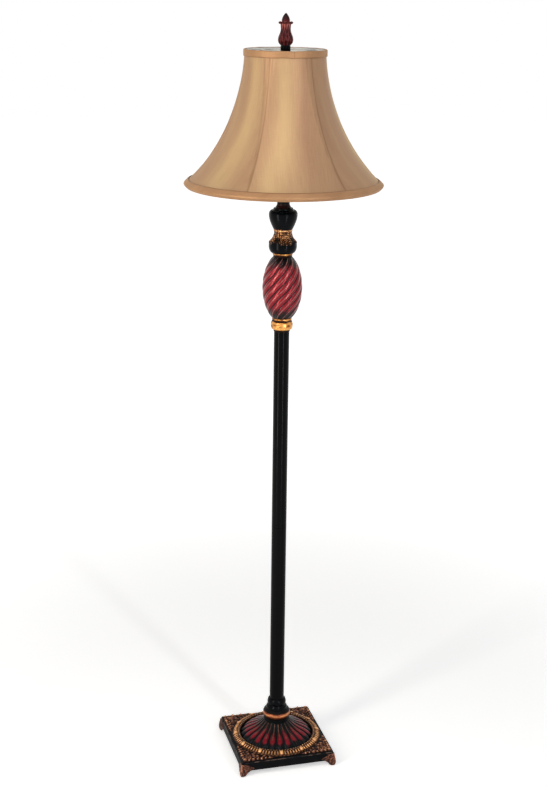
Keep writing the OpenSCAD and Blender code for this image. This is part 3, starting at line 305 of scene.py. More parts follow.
METAL = {"Metallic": 1.0}
FINISH = {
    # deep blue-black gloss with soft, broken highlights
    "turned_black": black_lacquer("Black lacquer on turned wood", "#04060a", 0.06),
    # the same on the straight tube, a little more neutral
    "pole_black": black_lacquer("Black lacquer on steel tube", "#040405", 0.058),
    # near black with a green cast on its edges
    "band_black": rubbed_metal("Black-green glaze on cast metal", "#040607", "#091011", "#1f2a28",
                               roughness=0.25, metallic=0.08, specular=0.055),
    # worn enamel: black faces with brown edges
    "slab_black": rubbed_metal("Worn black enamel on cast base", "#08090a", "#141417", "#5a4a40",
                               roughness=0.32, metallic=0.08, mottle=0.35, wash=0.6, specular=0.045),
    # mottled red-brown bronze, dull in its hollows
    "foot_bronze": rubbed_metal("Copper bronze on cast feet", "#1a0f0b", "#6e4130", "#b0765a",
                                roughness=0.4, metallic=0.6, mottle=0.8),
    # darker bronze whose small crests alone catch the light
    "leaf_bronze": rubbed_metal("Copper bronze on carved leaves", "#0a0706", "#56352a", "#b8805c",
                                roughness=0.34, metallic=0.65, mottle=1.0, wash=0.55, specular=0.15),
    # pinkish old gold, bright on each barrel and brown between
    "ring_gilt": rubbed_metal("Aged gold leaf on carved ring", "#22150f", "#7f5030", "#dca26c",
                              roughness=0.3, metallic=0.8, mottle=0.7, wash=0.38),
    # warm gold with brown clouds
    "gold_resin": rubbed_metal("Aged gold leaf on turned resin", "#1a0f09", "#8a5228", "#dc9d55",
                               roughness=0.3, metallic=0.85, mottle=0.3, wash=0.3),
    # gold dots on a dark ground
    "stippled_gold": rubbed_metal("Aged gold leaf, stippled", "#140d09", "#8a5634", "#dfa872", roughness=0.32,
                                  metallic=0.8, stipple=0.42, wash=0.42),
    # red gold, with a painted highlight along the half-round's middle
    "copper_resin": rubbed_metal("Copper leaf on turned resin", "#0b0909", "#8a4a30", "#cf8a58",
                                 roughness=0.3, metallic=0.85),
    # wine red ribs that fade into black at both ends
    "dome_red": glazed_red("Glazed red on cast dome", "#04080a", "#6b493a", "#480a11", "#7c1422",
                           0.56, 0.92, 0.93, 0.1),
    # wine red ribs with a pale line on each crest, part worn undercoat and part painted highlight, under a
    # clear coat
    "egg_red": glazed_red("Glazed red on fluted egg", "#08090b", "#a8706a", "#500a12", "#8a1420",
                          0.33, 0.76, 0.972, 0.26),
    # brown-black gloss
    "neck_brown": black_lacquer("Red-brown lacquer on turned wood", "#2c110f", 0.1),
    # dark red with pink edges, glassy
    "finial_red": rubbed_metal("Translucent red resin with dark wash", "#0d0305", "#4c070e", "#a8584e",
                               roughness=0.16, metallic=0.1, mottle=0.35, wash=0.38, specular=0.13),
    # dull grey with the sand's grit
    "iron": grained("Sand-cast iron", "#232324", "#3d3c3a", 1.8, {"Metallic": 0.8}, 0.3, (0.55, 0.75)),
    # soft, matt, with a fuzz of fibres at the edge
    "felt_green": grained("Green wool felt", "#1c3324", "#355a40", 0.9,
                          {"Sheen Weight": 0.6, "Sheen Roughness": 0.7, "Specular IOR Level": 0.1},
                          0.25, (0.9, 1.0)),
    # pale grey metal, softly clouded
    "zinc_steel": grained("Zinc-plated steel pipe", "#8e9092", "#bdbec0", 3.0, METAL, 0.02, (0.25, 0.4)),
    # bright yellow metal with fine lines along the drawing
    "brass": grained("Drawn brass", "#a17a35", "#d2ac62", 2.4, METAL, 0.02, (0.2, 0.34), (1, 1, 0.12)),
    # matt black
    "rubber_black": grained("Black rubber", "#111111", "#1d1d1d", 1.2, {"Specular IOR Level": 0.3},
                            0.05, (0.6, 0.8)),
    # matt grey-brown with fibres
    "liner_card": grained("Grey insulating card", "#6f6a60", "#8e897d", 1.4, {"Specular IOR Level": 0.2},
                          0.05, (0.8, 0.95), (1, 1, 0.25)),
    # warm black with a soft moulded shine
    "phenolic_black": grained("Moulded black phenolic", "#0e0c0b", "#1c1815", 2.0,
                              {"Specular IOR Level": 0.45}, 0.02, (0.25, 0.4)),
    # pale metal with lines round it
    "aluminium": grained("Rolled aluminium", "#b4b5b6", "#d9dadb", 2.0, METAL, 0.02, (0.22, 0.36), (1, 1, 4)),
    # milk white with a soft gloss
    "bulb_white": grained("Frosted white bulb glass", "#f0efea", "#fbfaf6", 6.0,
                          {"Transmission Weight": 0.15, "Coat Weight": 0.3, "Coat Roughness": 0.05},
                          0.01, (0.3, 0.42)),
    # off-white gloss
    "frame_wire": grained("White enamel on steel wire", "#d9d9d4", "#efefea", 3.0,
                          {"Specular IOR Level": 0.5}, 0.02, (0.3, 0.45)),
    # gold in a painted sheen band on each panel, brown towards the seams
    "shade_fabric": satin("Champagne satin", "#c8a67b", "#a67f64", 0.43, 1.8),
    # the same cloth cut across its floats, more even and a little redder
    "shade_trim": satin("Champagne satin trim", "#c99c72", "#a77d5b", 0.46, 1.2),
    # matt off-white
    "shade_lining": plain_cloth("Off-white lining", "#f4f2ec", "#e8e4da", 1.6),
}

for part in frame["record"]["subparts"]:
    shown = frame["nodes"].get(part["node"])
    if shown is not None and part["material_slot"] in FINISH:
        for holder in shown.material_slots:
            holder.material = FINISH[part["material_slot"]]

# ---- Mesh making ----


def placed(name, data):
    """An object in the scene, at the origin"""
    made = bpy.data.objects.new(name, data)
    bpy.context.scene.collection.objects.link(made)
    return made


def face_outward(mesh):
    work = bmesh.new()
    work.from_mesh(mesh)
    bmesh.ops.recalc_face_normals(work, faces=work.faces)
    work.to_mesh(mesh)
    work.free()


def set_value(mesh, key, amounts):
    """A named value at each of a mesh's points"""
    kept = mesh.attributes.new(key, "FLOAT", "POINT")
    kept.data.foreach_set("value", np.ravel(amounts).astype(np.float32))


def skin(name, rows, slot, values=None, loop=False, uv=None):
    """A closed surface over rows of points, in millimetres, that go round anticlockwise, with its finish,
    named values and cloth map. With loop the last row meets the first, as in a ring; without it each end
    is closed by a fan"""
    rows = np.asarray(rows, float)
    m, n = rows.shape[:2]
    points = rows.reshape(-1, 3)
    values = {k: np.asarray(v, float).reshape(-1) for k, v in (values or {}).items()}
    i, j = np.meshgrid(np.arange(m if loop else m - 1), np.arange(n), indexing="ij")
    k, down = (j + 1) % n, (i + 1) % m
    faces = np.stack([i * n + j, down * n + j, down * n + k, i * n + k], -1).reshape(-1, 4).tolist()
    if not loop:
        points = np.vstack([points, rows[0].mean(0), rows[-1].mean(0)])
        values = {key: np.append(v, [v[:n].mean(), v[-n:].mean()]) for key, v in values.items()}
        top, bottom = m * n, m * n + 1
        faces += [[top, a, (a + 1) % n] for a in range(n)]
        faces += [[bottom, (m - 1) * n + (a + 1) % n, (m - 1) * n + a] for a in range(n)]
    mesh = bpy.data.meshes.new(name)
    mesh.from_pydata([tuple(p) for p in points * MM], [], faces)
    mesh.update()
    for key, amounts in values.items():
        set_value(mesh, key, amounts)
    if uv is not None:
        layer = mesh.uv_layers.new(name="cloth")
        corners = np.zeros(len(mesh.loops), np.int32)
        mesh.loops.foreach_get("vertex_index", corners)
        layer.data.foreach_set("uv", uv(mesh, corners).ravel().astype(np.float32))
    face_outward(mesh)
    mesh.polygons.foreach_set("use_smooth", [True] * len(mesh.polygons))
    mesh.materials.append(FINISH[slot])
    return placed(name, mesh)


def turned_rows(profile, n, radius=None):
    """Rows round the pole's axis for a profile of (r, z), with an optional change of each radius"""
    a = circle(n)
    return np.array([ring_row(a, r + (radius(a, r, z) if radius else 0.0), z) for r, z in profile])


def rounded(profile, step, rounds):
    """A profile with points every step millimetres and its corners eased"""
    p = np.asarray(profile, float)
    along = np.concatenate([[0], np.cumsum(np.hypot(*np.diff(p, axis=0).T))])
    at = np.linspace(0, along[-1], max(8, int(ceil(along[-1] / step))))
    q = np.stack([np.interp(at, along, p[:, 0]), np.interp(at, along, p[:, 1])], -1)
    for _ in range(rounds):
        q[1:-1] = (q[:-2] + 2 * q[1:-1] + q[2:]) / 4
    return q


def copy_points(name, places):
    """A mesh of loose points that carry the turn, in radians, and the size of a copy of a unit piece"""
    spots, turns, sizes = zip(*places)
    mesh = bpy.data.meshes.new(name)
    mesh.from_pydata([tuple(np.asarray(spot) * MM) for spot in spots], [], [])
    for key, amounts in (("turn", np.array(turns)), ("size", np.array(sizes) * MM)):
        kept = mesh.attributes.new(key, "FLOAT_VECTOR", "POINT")
        kept.data.foreach_set("vector", np.ravel(amounts).astype(np.float32))
    return placed(name, mesh)


def place_copies_tree():
    """Geometry Nodes: a copy of one carved piece at each point, turned and sized by the point's values"""
    tree = bpy.data.node_groups.new("Place copies", "GeometryNodeTree")
    face = tree.interface
    for name, kind in (("Geometry", "Geometry"), ("Piece", "Object"), ("Finish", "Material")):
        face.new_socket(name, in_out="INPUT", socket_type="NodeSocket" + kind)
    face.new_socket("Geometry", in_out="OUTPUT", socket_type="NodeSocketGeometry")
    given = add(tree, "NodeGroupInput").outputs
    piece = add(tree, "GeometryNodeObjectInfo", {"Object": given["Piece"], "As Instance": True})
    turn = add(tree, "GeometryNodeInputNamedAttribute", {"Name": "turn"}, data_type="FLOAT_VECTOR")
    size = add(tree, "GeometryNodeInputNamedAttribute", {"Name": "size"}, data_type="FLOAT_VECTOR")
    turned = add(tree, "FunctionNodeEulerToRotation", {"Euler": turn})
    made = add(tree, "GeometryNodeInstanceOnPoints", {
        "Points": given["Geometry"], "Instance": piece.outputs["Geometry"], "Rotation": turned,
        "Scale": size})
    made = add(tree, "GeometryNodeRealizeInstances", {"Geometry": made})
    made = add(tree, "GeometryNodeSetShadeSmooth", {"Geometry": made})
    made = add(tree, "GeometryNodeSetMaterial", {"Geometry": made, "Material": given["Finish"]})
    add(tree, "NodeGroupOutput", {"Geometry": made})
    return tree


def run_tree(holder, tree, given, name):
    """Runs a tree on an object, keeps what it makes as a plain mesh, and removes the object"""
    live = holder.modifiers.new("Make", "NODES")
    live.node_group = tree
    for item in tree.interface.items_tree:
        if item.item_type == "SOCKET" and item.in_out == "INPUT" and item.name in given:
            live[item.identifier] = given[item.name]
    bpy.context.view_layer.update()
    graph = bpy.context.evaluated_depsgraph_get()
    mesh = bpy.data.meshes.new_from_object(holder.evaluated_get(graph), depsgraph=graph)
    mesh.name = name
    bpy.data.objects.remove(holder)
    for key in ("turn", "size"):
        if key in mesh.attributes:
            mesh.attributes.remove(mesh.attributes[key])
    return placed(name, mesh)


PLACE_COPIES = place_copies_tree()


def copies_of(piece, places, name, slot):
    holder = copy_points(name + "_points", places)
    return run_tree(holder, PLACE_COPIES, {"Piece": piece, "Finish": FINISH[slot]}, name)


def joined(name, pieces, spare):
    """One object from several that share a finish; the spare pieces, which were copied, are removed"""
    work = bmesh.new()
    for piece in pieces:
        work.from_mesh(piece.data)
    mesh = bpy.data.meshes.new(name)
    work.to_mesh(mesh)
    work.free()
    mesh.materials.append(pieces[0].data.materials[0])
    mesh.polygons.foreach_set("material_index", [0] * len(mesh.polygons))
    for piece in (*pieces, *spare):
        bpy.data.objects.remove(piece)
    return placed(name, mesh)


def petal(name, slot, blunt, veins=3, cup=0.0):
    """One carved leaf of unit length, width and height, lying along x on its flat back: a swollen
    outline, a raised spine and side veins; blunt runs from a pointed leaf, 0, to a barrel, 1"""
    row_count, across = 16, 14
    rows, relief = [], []
    for i in range(row_count + 1):
        u = i / row_count
        pointed = sin(pi * u**0.85) ** 0.75 * (1 - 0.25 * u)
        barrel = min(1.0, sin(pi * u) * 2.2) ** 0.6
        w = max(0.5 * (pointed * (1 - blunt) + barrel * blunt), 0.02)
        swell = max(sin(pi * u) ** 0.6, 0.05) if 0 < u < 1 else 0.05
        row, level = [], []
        for k in range(across + 1):
            x = 1 - 2 * k / across
            lift = (1 - x * x) ** 0.7 if abs(x) < 1 else 0.0
            vein = (1 - blunt) * 0.24 * abs(sin(veins * pi * (u + 0.35 * abs(x))))
            spine = (1 - blunt) * 0.22 * max(0.0, 1 - abs(x) * 5)
            z = swell * max(lift * (0.86 - cup * (1 - abs(x))) + spine - vein * lift, 0.0)
            row.append((u, x * w, 0.02 + z * 0.98))
            level.append(min(1.0, 0.15 + 1.1 * z))
        for x in (-1.0, 1.0):
            row.append((u, x * w * 0.98, 0.0))
            level.append(0.0)
        rows.append(row)
        relief.append(level)
    return skin(name, np.array(rows) / MM, slot, {"relief": relief})


def turn_at(angle, tilt=0.0, roll=0.0):
    """The Euler turn of a leaf that points outwards at an angle round the pole, tipped by tilt"""
    m = Matrix.Rotation(radians(angle), 3, "Z") @ Matrix.Rotation(radians(-tilt), 3, "Y") @ \
        Matrix.Rotation(radians(roll), 3, "X")
    return tuple(m.to_euler("XYZ"))


def around(r, angle, z):
    return (r * cos(radians(angle)), r * sin(radians(angle)), z)


def stand_for(piece, body, node):
    """The piece rides on a body and stands for the node that it replaces, which is hidden"""
    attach(piece, body)
    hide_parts(node)


# ---- Base ----


def cast_slab():
    """The square plate: edges eased as in casting, sides a little uneven, relief high on the edges
    where the enamel has rubbed"""
    half, low, top = BASE_HALF, SLAB_FOOT, SLAB_TOP
    corner_r, outer_from = 2.5, 40  # a row wider than outer_from has its corners rounded
    square = square_row(40)
    # half width, height, and how much more relief the row has
    profile = [(0.3, low, 0), (half - 1.0, low, 0), (half - 0.25, low + 0.3, 0.3), (half, low + 1.1, 0.45),
               (half, 18.0, 0), (half, 24.0, 0), (half, top - 2.4, 0), (half - 0.2, top - 1.5, 0.9),
               (half - 0.9, top - 0.5, 0.8), (half - 2.0, top, 0), (half - 9, top, 0), (half - 24, top, 0),
               (28.0, top, 0)]
    rows, relief = [], []
    for r, z, edge in reversed(profile):
        points = square * r
        if r > outer_from:
            over = np.clip(np.abs(points) - (r - corner_r), 0, None)
            long = np.hypot(over[:, 0], over[:, 1])
            pull = np.where(long > corner_r, corner_r / np.maximum(long, 1e-6), 1.0)[:, None]
            points = np.sign(points) * (np.clip(np.abs(points), None, r - corner_r) + over * pull)
        wave = noise_at(*(points / 14).T, z / 9)
        rows.append(np.column_stack([points, np.full(len(points), z)]))
        relief.append(np.clip(0.3 + 0.25 * wave + edge * (0.6 + 0.6 * wave), 0, 1))
    return skin("base_plate", rows, "slab_black", {"relief": relief})


def dome():
    """The gadrooned dome: each lobe swells towards a rounded end, grooves cut between the lobes"""
    per, steps = 16, 46
    n = LOBES * per
    a = circle(n)
    x = 2 * ((np.arange(n) % per) / per) - 1
    swell = np.sqrt(1 - 0.94 * x * x)
    rows, relief, tone = [], [], []
    # the painter's strokes reach further up some lobes than others
    uneven = 0.24 * noise_at(7.7 * (np.arange(n) // per), 0.5, 0.5)
    for s in np.linspace(0, 1, steps + 1):
        h = DOME_H * (1 - 0.93 * s - 0.055 * sin(2 * pi * s))
        # the lobe's end is scalloped: its sides fall away sooner than its middle
        fall = smooth_step(s, 0.84, 1.0) * 3.4 * (1 - swell)
        dip = LOBE_DEPTH * (0.25 + 0.75 * s) * (1 - swell)
        r = DOME_TOP_R + (DOME_R - DOME_TOP_R) * s - dip * (0.3 + 0.7 * s)
        rows.append(ring_row(a, r, SLAB_TOP + np.maximum(h - dip * (1 - 0.5 * s) - fall, 0.2)))
        wear = noise_round(a, 9, s * 6)
        relief.append(np.clip(swell * (1.0 if s < 0.6 else 0.965) + 0.02 * wear, 0, 1))
        inner = smooth_step(s + 0.1 * wear + uneven, 0.08, 0.55)
        outer = 1 - smooth_step(s + 0.16 * (1 - swell) + 0.06 * wear - 0.3 * uneven, 0.74, 0.88)
        tone.append(np.clip(inner * outer, 0, 1))
    foot, hole_r, roof_z = DOME_R - LOBE_DEPTH, 12.0, SLAB_TOP + DOME_H - 8
    for r, z in ((foot, SLAB_TOP), (foot - 6, SLAB_TOP), (48.0, SLAB_TOP + 14), (24.0, roof_z),
                 (hole_r, roof_z), (hole_r, SLAB_TOP + DOME_H)):
        rows.append(ring_row(a, r, z))
        relief.append(np.zeros(n))
        tone.append(np.zeros(n))
    return skin("red_dome", rows, "dome_red", {"relief": relief, "tone": tone}, loop=True)


def carved_ring():
    """The gold ring: a moulded bed, a bright barrel between each group of thin flutes, and a small bead
    at the foot of every flute"""
    r0, r1, z0, top = RING_IN_R, RING_OUT_R, SLAB_TOP, SLAB_TOP + RING_H
    n, groups, lean, first = 360, 7, 24, 22.3  # the first barrel's angle sets the ring to the photograph
    bed = rounded([(r0 + 0.2, top - 2.4), (r0 + 3, top - 1.9), (r1 - 8.5, top - 3.4),
                   (r1 - 3.4, z0 + RING_H * 0.5), (r1 - 1.0, z0 + 2.8), (r1 - 0.5, z0 + 1.6), (r1 - 0.8, z0)],
                  0.9, 3)
    bed = np.vstack([bed, [(r0 + 0.2, z0)]])
    relief = [np.clip(0.14 + 0.2 * sin(i * 1.7) + 0.2 * np.sin(circle(n) * RING_BOSSES * 6 + i), 0, 1)
              for i in range(len(bed))]
    base = skin("ring_bed", turned_rows(bed, n), "ring_gilt", {"relief": relief}, loop=True)
    barrel, flute = petal("barrel", "ring_gilt", 1.0), petal("flute", "ring_gilt", 0.55, veins=5)
    step = 360 / RING_BOSSES
    barrels, flutes, beads = [], [], []
    for i in range(RING_BOSSES):
        a0 = first + i * step
        barrels.append((around(r1 - 1.2, a0, z0 + 3.6), turn_at(a0 + 180, lean), (13.0, 9.4, 4.2)))
        for k in range(1, groups):
            b = a0 + (k + 0.06 * (groups / 2 - k)) * step / groups
            flutes.append((around(r1 - 1.4, b, z0 + 3.3), turn_at(b + 180, lean), (11.4, 2.7, 2.4)))
        for k in range(groups):
            b = a0 + (k + 0.5) * step / groups
            beads.append((around(r0 + 4.0, b, top - 3.3), turn_at(b + 180), (3.0, 2.1, 2.0)))
    parts = [base, copies_of(barrel, barrels, "ring_barrels", "ring_gilt"),
             copies_of(flute, flutes, "ring_flutes", "ring_gilt"),
             copies_of(barrel, beads, "ring_beads", "ring_gilt")]
    return joined("carved_gold_ring", parts, (barrel, flute))


def corner(name, turn):
    """A spandrel: a thin plate with a knobbly rim, a fan of leaves from the corner, knobs and lobes along
    the rim, and small curled lobes over the ground between"""
    edge, reach, plate = BASE_HALF - SLAB_BEVEL - 0.4, 65.0, 1.1
    ring_clear = RING_OUT_R + 0.7
    outline = []
    for t in np.linspace(0, 1, 34, endpoint=False):
        outline.append((-edge + reach * t, -edge + 0.5 * abs(sin(t * 34))))
    a0 = atan2(-edge, -edge + reach)
    a1 = atan2(-edge + reach, -edge) - 2 * pi
    for b in np.linspace(a0, a1, 44, endpoint=False):
        outline.append((ring_clear * cos(b), ring_clear * sin(b)))
    for t in np.linspace(1, 0, 34, endpoint=False):
        outline.append((-edge + 0.5 * abs(sin(t * 34)), -edge + reach * t))
    pts = np.array(outline)
    pts = pts[np.hypot(pts[:, 0], pts[:, 1]) >= ring_clear - 0.01]
    centre = np.array([-edge + 7, -edge + 7])
    rows = []
    for share, z in ((0.1, plate + 0.2), (0.6, plate + 0.2), (0.985, plate), (1.0, plate * 0.7), (1.0, 0.0)):
        rows.append(np.column_stack([centre + (pts - centre) * share, np.full(len(pts), SLAB_TOP + z)]))
    levels = [np.clip(0.06 + 0.3 * noise_at(*(row[:, :2] / 4).T, 1.0), 0, 1) for row in rows]
    base = skin(name + "_plate", rows, "leaf_bronze", {"relief": levels})
    z = SLAB_TOP + plate * 0.6
    leaves, berries = [], []

    def put(group, p, angle, size):
        group.append(((p[0], p[1], z), turn_at(angle), size))

    for angle, length, high in ((-12, 20.5, 5.4), (12, 20.5, 5.4), (0, 22.0, 6.2)):
        put(leaves, centre + 0.5, 45 + angle, (length, 7.0, high))
    for sgn in (-1, 1):
        axis = 0 if sgn < 0 else 90

        def spot(at, side):
            return centre + (np.array([at, side]) if sgn < 0 else np.array([side, at]))

        for k in range(6):
            # a knob on the rim, a lobe that curls out towards it, and one that curls in to the ring
            at = 8.5 + 9.2 * k
            size, high = (8.6 - 0.5 * k, 6.2 - 0.3 * k) if k % 2 else (5.0 - 0.2 * k, 3.9)
            put(berries, spot(at, -2.5) - (size / 2, 0), 0, (size, size * 0.92, high))
            put(leaves, spot(at - 1.5, 2.2 - 0.2 * k), axis + sgn * 38, (9.0 - 0.5 * k, 5.2, 5.6 - 0.3 * k))
            p = spot(at + 1.0, 1.6 - 0.2 * k)
            if hypot(*(p + 3.0)) > ring_clear + 3.0 and k < 5:
                put(leaves, p, axis - sgn * 34, (9.0 - 0.9 * k, 4.8, 5.2 - 0.4 * k))
        put(leaves, spot(54, -1.6), axis, (10.0, 4.6, 3.0))
    for i in range(7):
        for k in range(7):
            p = centre + np.array([5.0 + 8.4 * i + 4.2 * (k % 2), 5.0 + 8.4 * k])
            if hypot(*p) < ring_clear + 4.5 or min(p - centre) < 4.0:
                continue
            inward = degrees(atan2(-p[1], -p[0])) + (34 if (i + k) % 2 else -34) + 38 * sin(3.1 * i + 1.7 * k)
            size = 1 + 0.28 * sin(2.3 * i + 4.1 * k)
            put(leaves, p, inward, (10.4 * size, 6.8 * size, 4.3 * size))
    put(berries, centre - (5.0, 0), 0, (9.6, 9.2, 6.2))
    leaf, berry = petal("leaf", "leaf_bronze", 0.3, cup=0.3), petal("berry", "leaf_bronze", 1.0)
    made = joined(name, [base, copies_of(leaf, leaves, name + "_leaves", "leaf_bronze"),
                         copies_of(berry, berries, name + "_berries", "leaf_bronze")], (leaf, berry))
    made.data.transform(Matrix.Rotation(radians(turn), 4, "Z"))
    return made


def bracket_foot(name, turn):
    """An ogee bracket that wraps the plate's corner: it swells at the knee, its wings run to a point
    half way up the plate's side, and a shallow leaf with a spine is cut on each face"""
    n, wing = 64, 0.36  # points in a row, and the share of them that each wing takes
    rows, relief = [], []
    for z in np.concatenate([np.linspace(28.4, 13.2, 18), np.linspace(12.2, 0.0, 16)]):
        reach = float(np.interp(z, [0, 1.5, 3.5, 6, 9, 12, 15, 18, 20, 22.5, 25, 28.4],
                                [6.0, 8.6, 10.2, 11.8, 14.4, 18.6, 24.0, 28.6, 26.0, 20.5, 16.0, 12.0]))
        proud = float(np.interp(z, [0, 2, 6, 11, 16, 21, 26, 31], [1.4, 3.2, 4.6, 4.9, 4.4, 3.4, 2.4, 1.6]))
        row, level = [], []
        inner = 1.6 if z > SLAB_FOOT else reach * 0.5
        for k in range(n):
            u = k / n
            edge = abs(u - wing) / wing
            # in along one wing, out along the other, and back inside the plate
            if u < 2 * wing:
                along = -proud + (reach + proud) * edge
                across = -proud * (1 - 0.75 * edge**3) + 0.3 * edge**3
                q = (along, across) if u < wing else (across, along)
            else:
                w = (u - 2 * wing) / (1 - 2 * wing)
                q = tuple((1 - w) ** 2 * start + 2 * w * (1 - w) * inner + w * w * end
                          for start, end in ((0.6, reach), (reach, 0.6)))
            eased = 0.7 * 1.5 * max(0.0, 1 - edge * 3.2) ** 2
            vein = 0.35 * abs(sin(9 * edge + z * 0.35)) * min(1.0, edge * 4) * (u < 2 * wing)
            q = (q[0] + eased + (vein if u >= wing else 0), q[1] + eased + (vein if u < wing else 0))
            row.append((-BASE_HALF + q[0], -BASE_HALF + q[1], z))
            rub = noise.noise(Vector((q[0] * 0.35, q[1] * 0.35, z * 0.35)))
            # painted highlight: lighter in scallops along the foot's top edge
            rim = 0.35 * float(smooth_step(z, 24.5, 27.5)) * (0.5 + 0.5 * sin(edge * 26))
            spine = 0.3 * max(0.0, 1 - edge * 4)
            level.append(min(1.0, max(0.0, 0.5 - vein + 0.35 * rub + spine + rim)))
        rows.append(row)
        relief.append(level)
    made = skin(name, rows, "foot_bronze", {"relief": relief})
    made.data.transform(Matrix.Rotation(radians(turn), 4, "Z"))
    return made


stand_for(cast_slab(), "stand", "base_slab")
stand_for(dome(), "stand", "base_dome")
stand_for(carved_ring(), "stand", "base_ring")
for side, turn in (("front_left", 0), ("front_right", 90), ("back_right", 180), ("back_left", 270)):
    stand_for(corner("corner_leaves_" + side, turn), "stand", "corner_" + side)
    stand_for(bracket_foot("bracket_foot_" + side, turn), "stand", "foot_" + side)

# ---- Column ----


def turned_piece(name, profile, slot, rounds=1, wear=0.5, bump=None, level=0.5, glaze=()):
    """A turned piece with a bore: the profile's edges eased, relief from the profile's own bends, or from a
    level given for each height. Glaze has spans of height, each running from where the piece is dark to where
    it keeps its relief"""
    n, step, reach = 96, 0.7, 8  # a bend is measured over reach points on each side
    p = rounded(profile, step, rounds)
    dense = np.pad(p, ((reach, reach), (0, 0)), "edge")
    mean = np.array([dense[i : i + 2 * reach + 1].mean(0) for i in range(len(p))])
    tangent = np.gradient(p, axis=0)
    outward = np.stack([tangent[:, 1], -tangent[:, 0]], -1)
    outward /= np.maximum(np.hypot(*outward.T), 1e-6)[:, None]
    outward *= np.sign(np.sum(outward[:, 0])) or 1
    bend = ((p - mean) * outward).sum(1)
    loop = np.vstack([p, [(BORE_R, p[-1, 1]), (BORE_R, p[0, 1])]])
    relief = []
    for i, (_, z) in enumerate(loop):
        # a level given for each height sets the relief by itself; on the half-round it is a painted highlight
        wear_and_painted_highlight = level(z) if callable(level) else level + bend[i] * 0.9 if i < len(p) else 0.2
        bare = np.prod([float(smooth_step(z, *span)) for span in glaze])
        relief.append(np.clip(wear_and_painted_highlight + wear * 0.4 * noise_round(circle(n), 2.5, z * 0.25), 0, 1) * bare)
    return skin(name, turned_rows(loop[::-1], n, bump), slot, {"relief": relief[::-1]}, loop=True)


def egg_collar():
    """The gold collar: a plain foot, a tall bulge with a hammered face, and a small bead on top"""
    z = EGG_COLLAR_Z
    bulge = [(19.9 + 2.9 * cos(t), z + 13.2 + 8.6 * sin(t)) for t in np.radians(np.linspace(-55, 68, 15))]
    profile = [(POLE_R + 0.8, z), (POLE_R + 0.9, z + 3.8), (21.2, z + 5.0), *bulge, (19.6, z + 23.2),
               (20.3, z + 24.4), (20.7, z + 26.0), (20.2, z + 28)]

    def hammered(a, r, h):
        return 0.2 * np.sin(a * 7 + h * 0.4) * np.sin(a * 5 - h * 0.7) - 0.2 if r > 18 else 0

    return turned_piece("gold_egg_collar", profile, "gold_resin", rounds=2, wear=1.8, bump=hammered,
                        glaze=((z + 2.0, z + 6.0),))


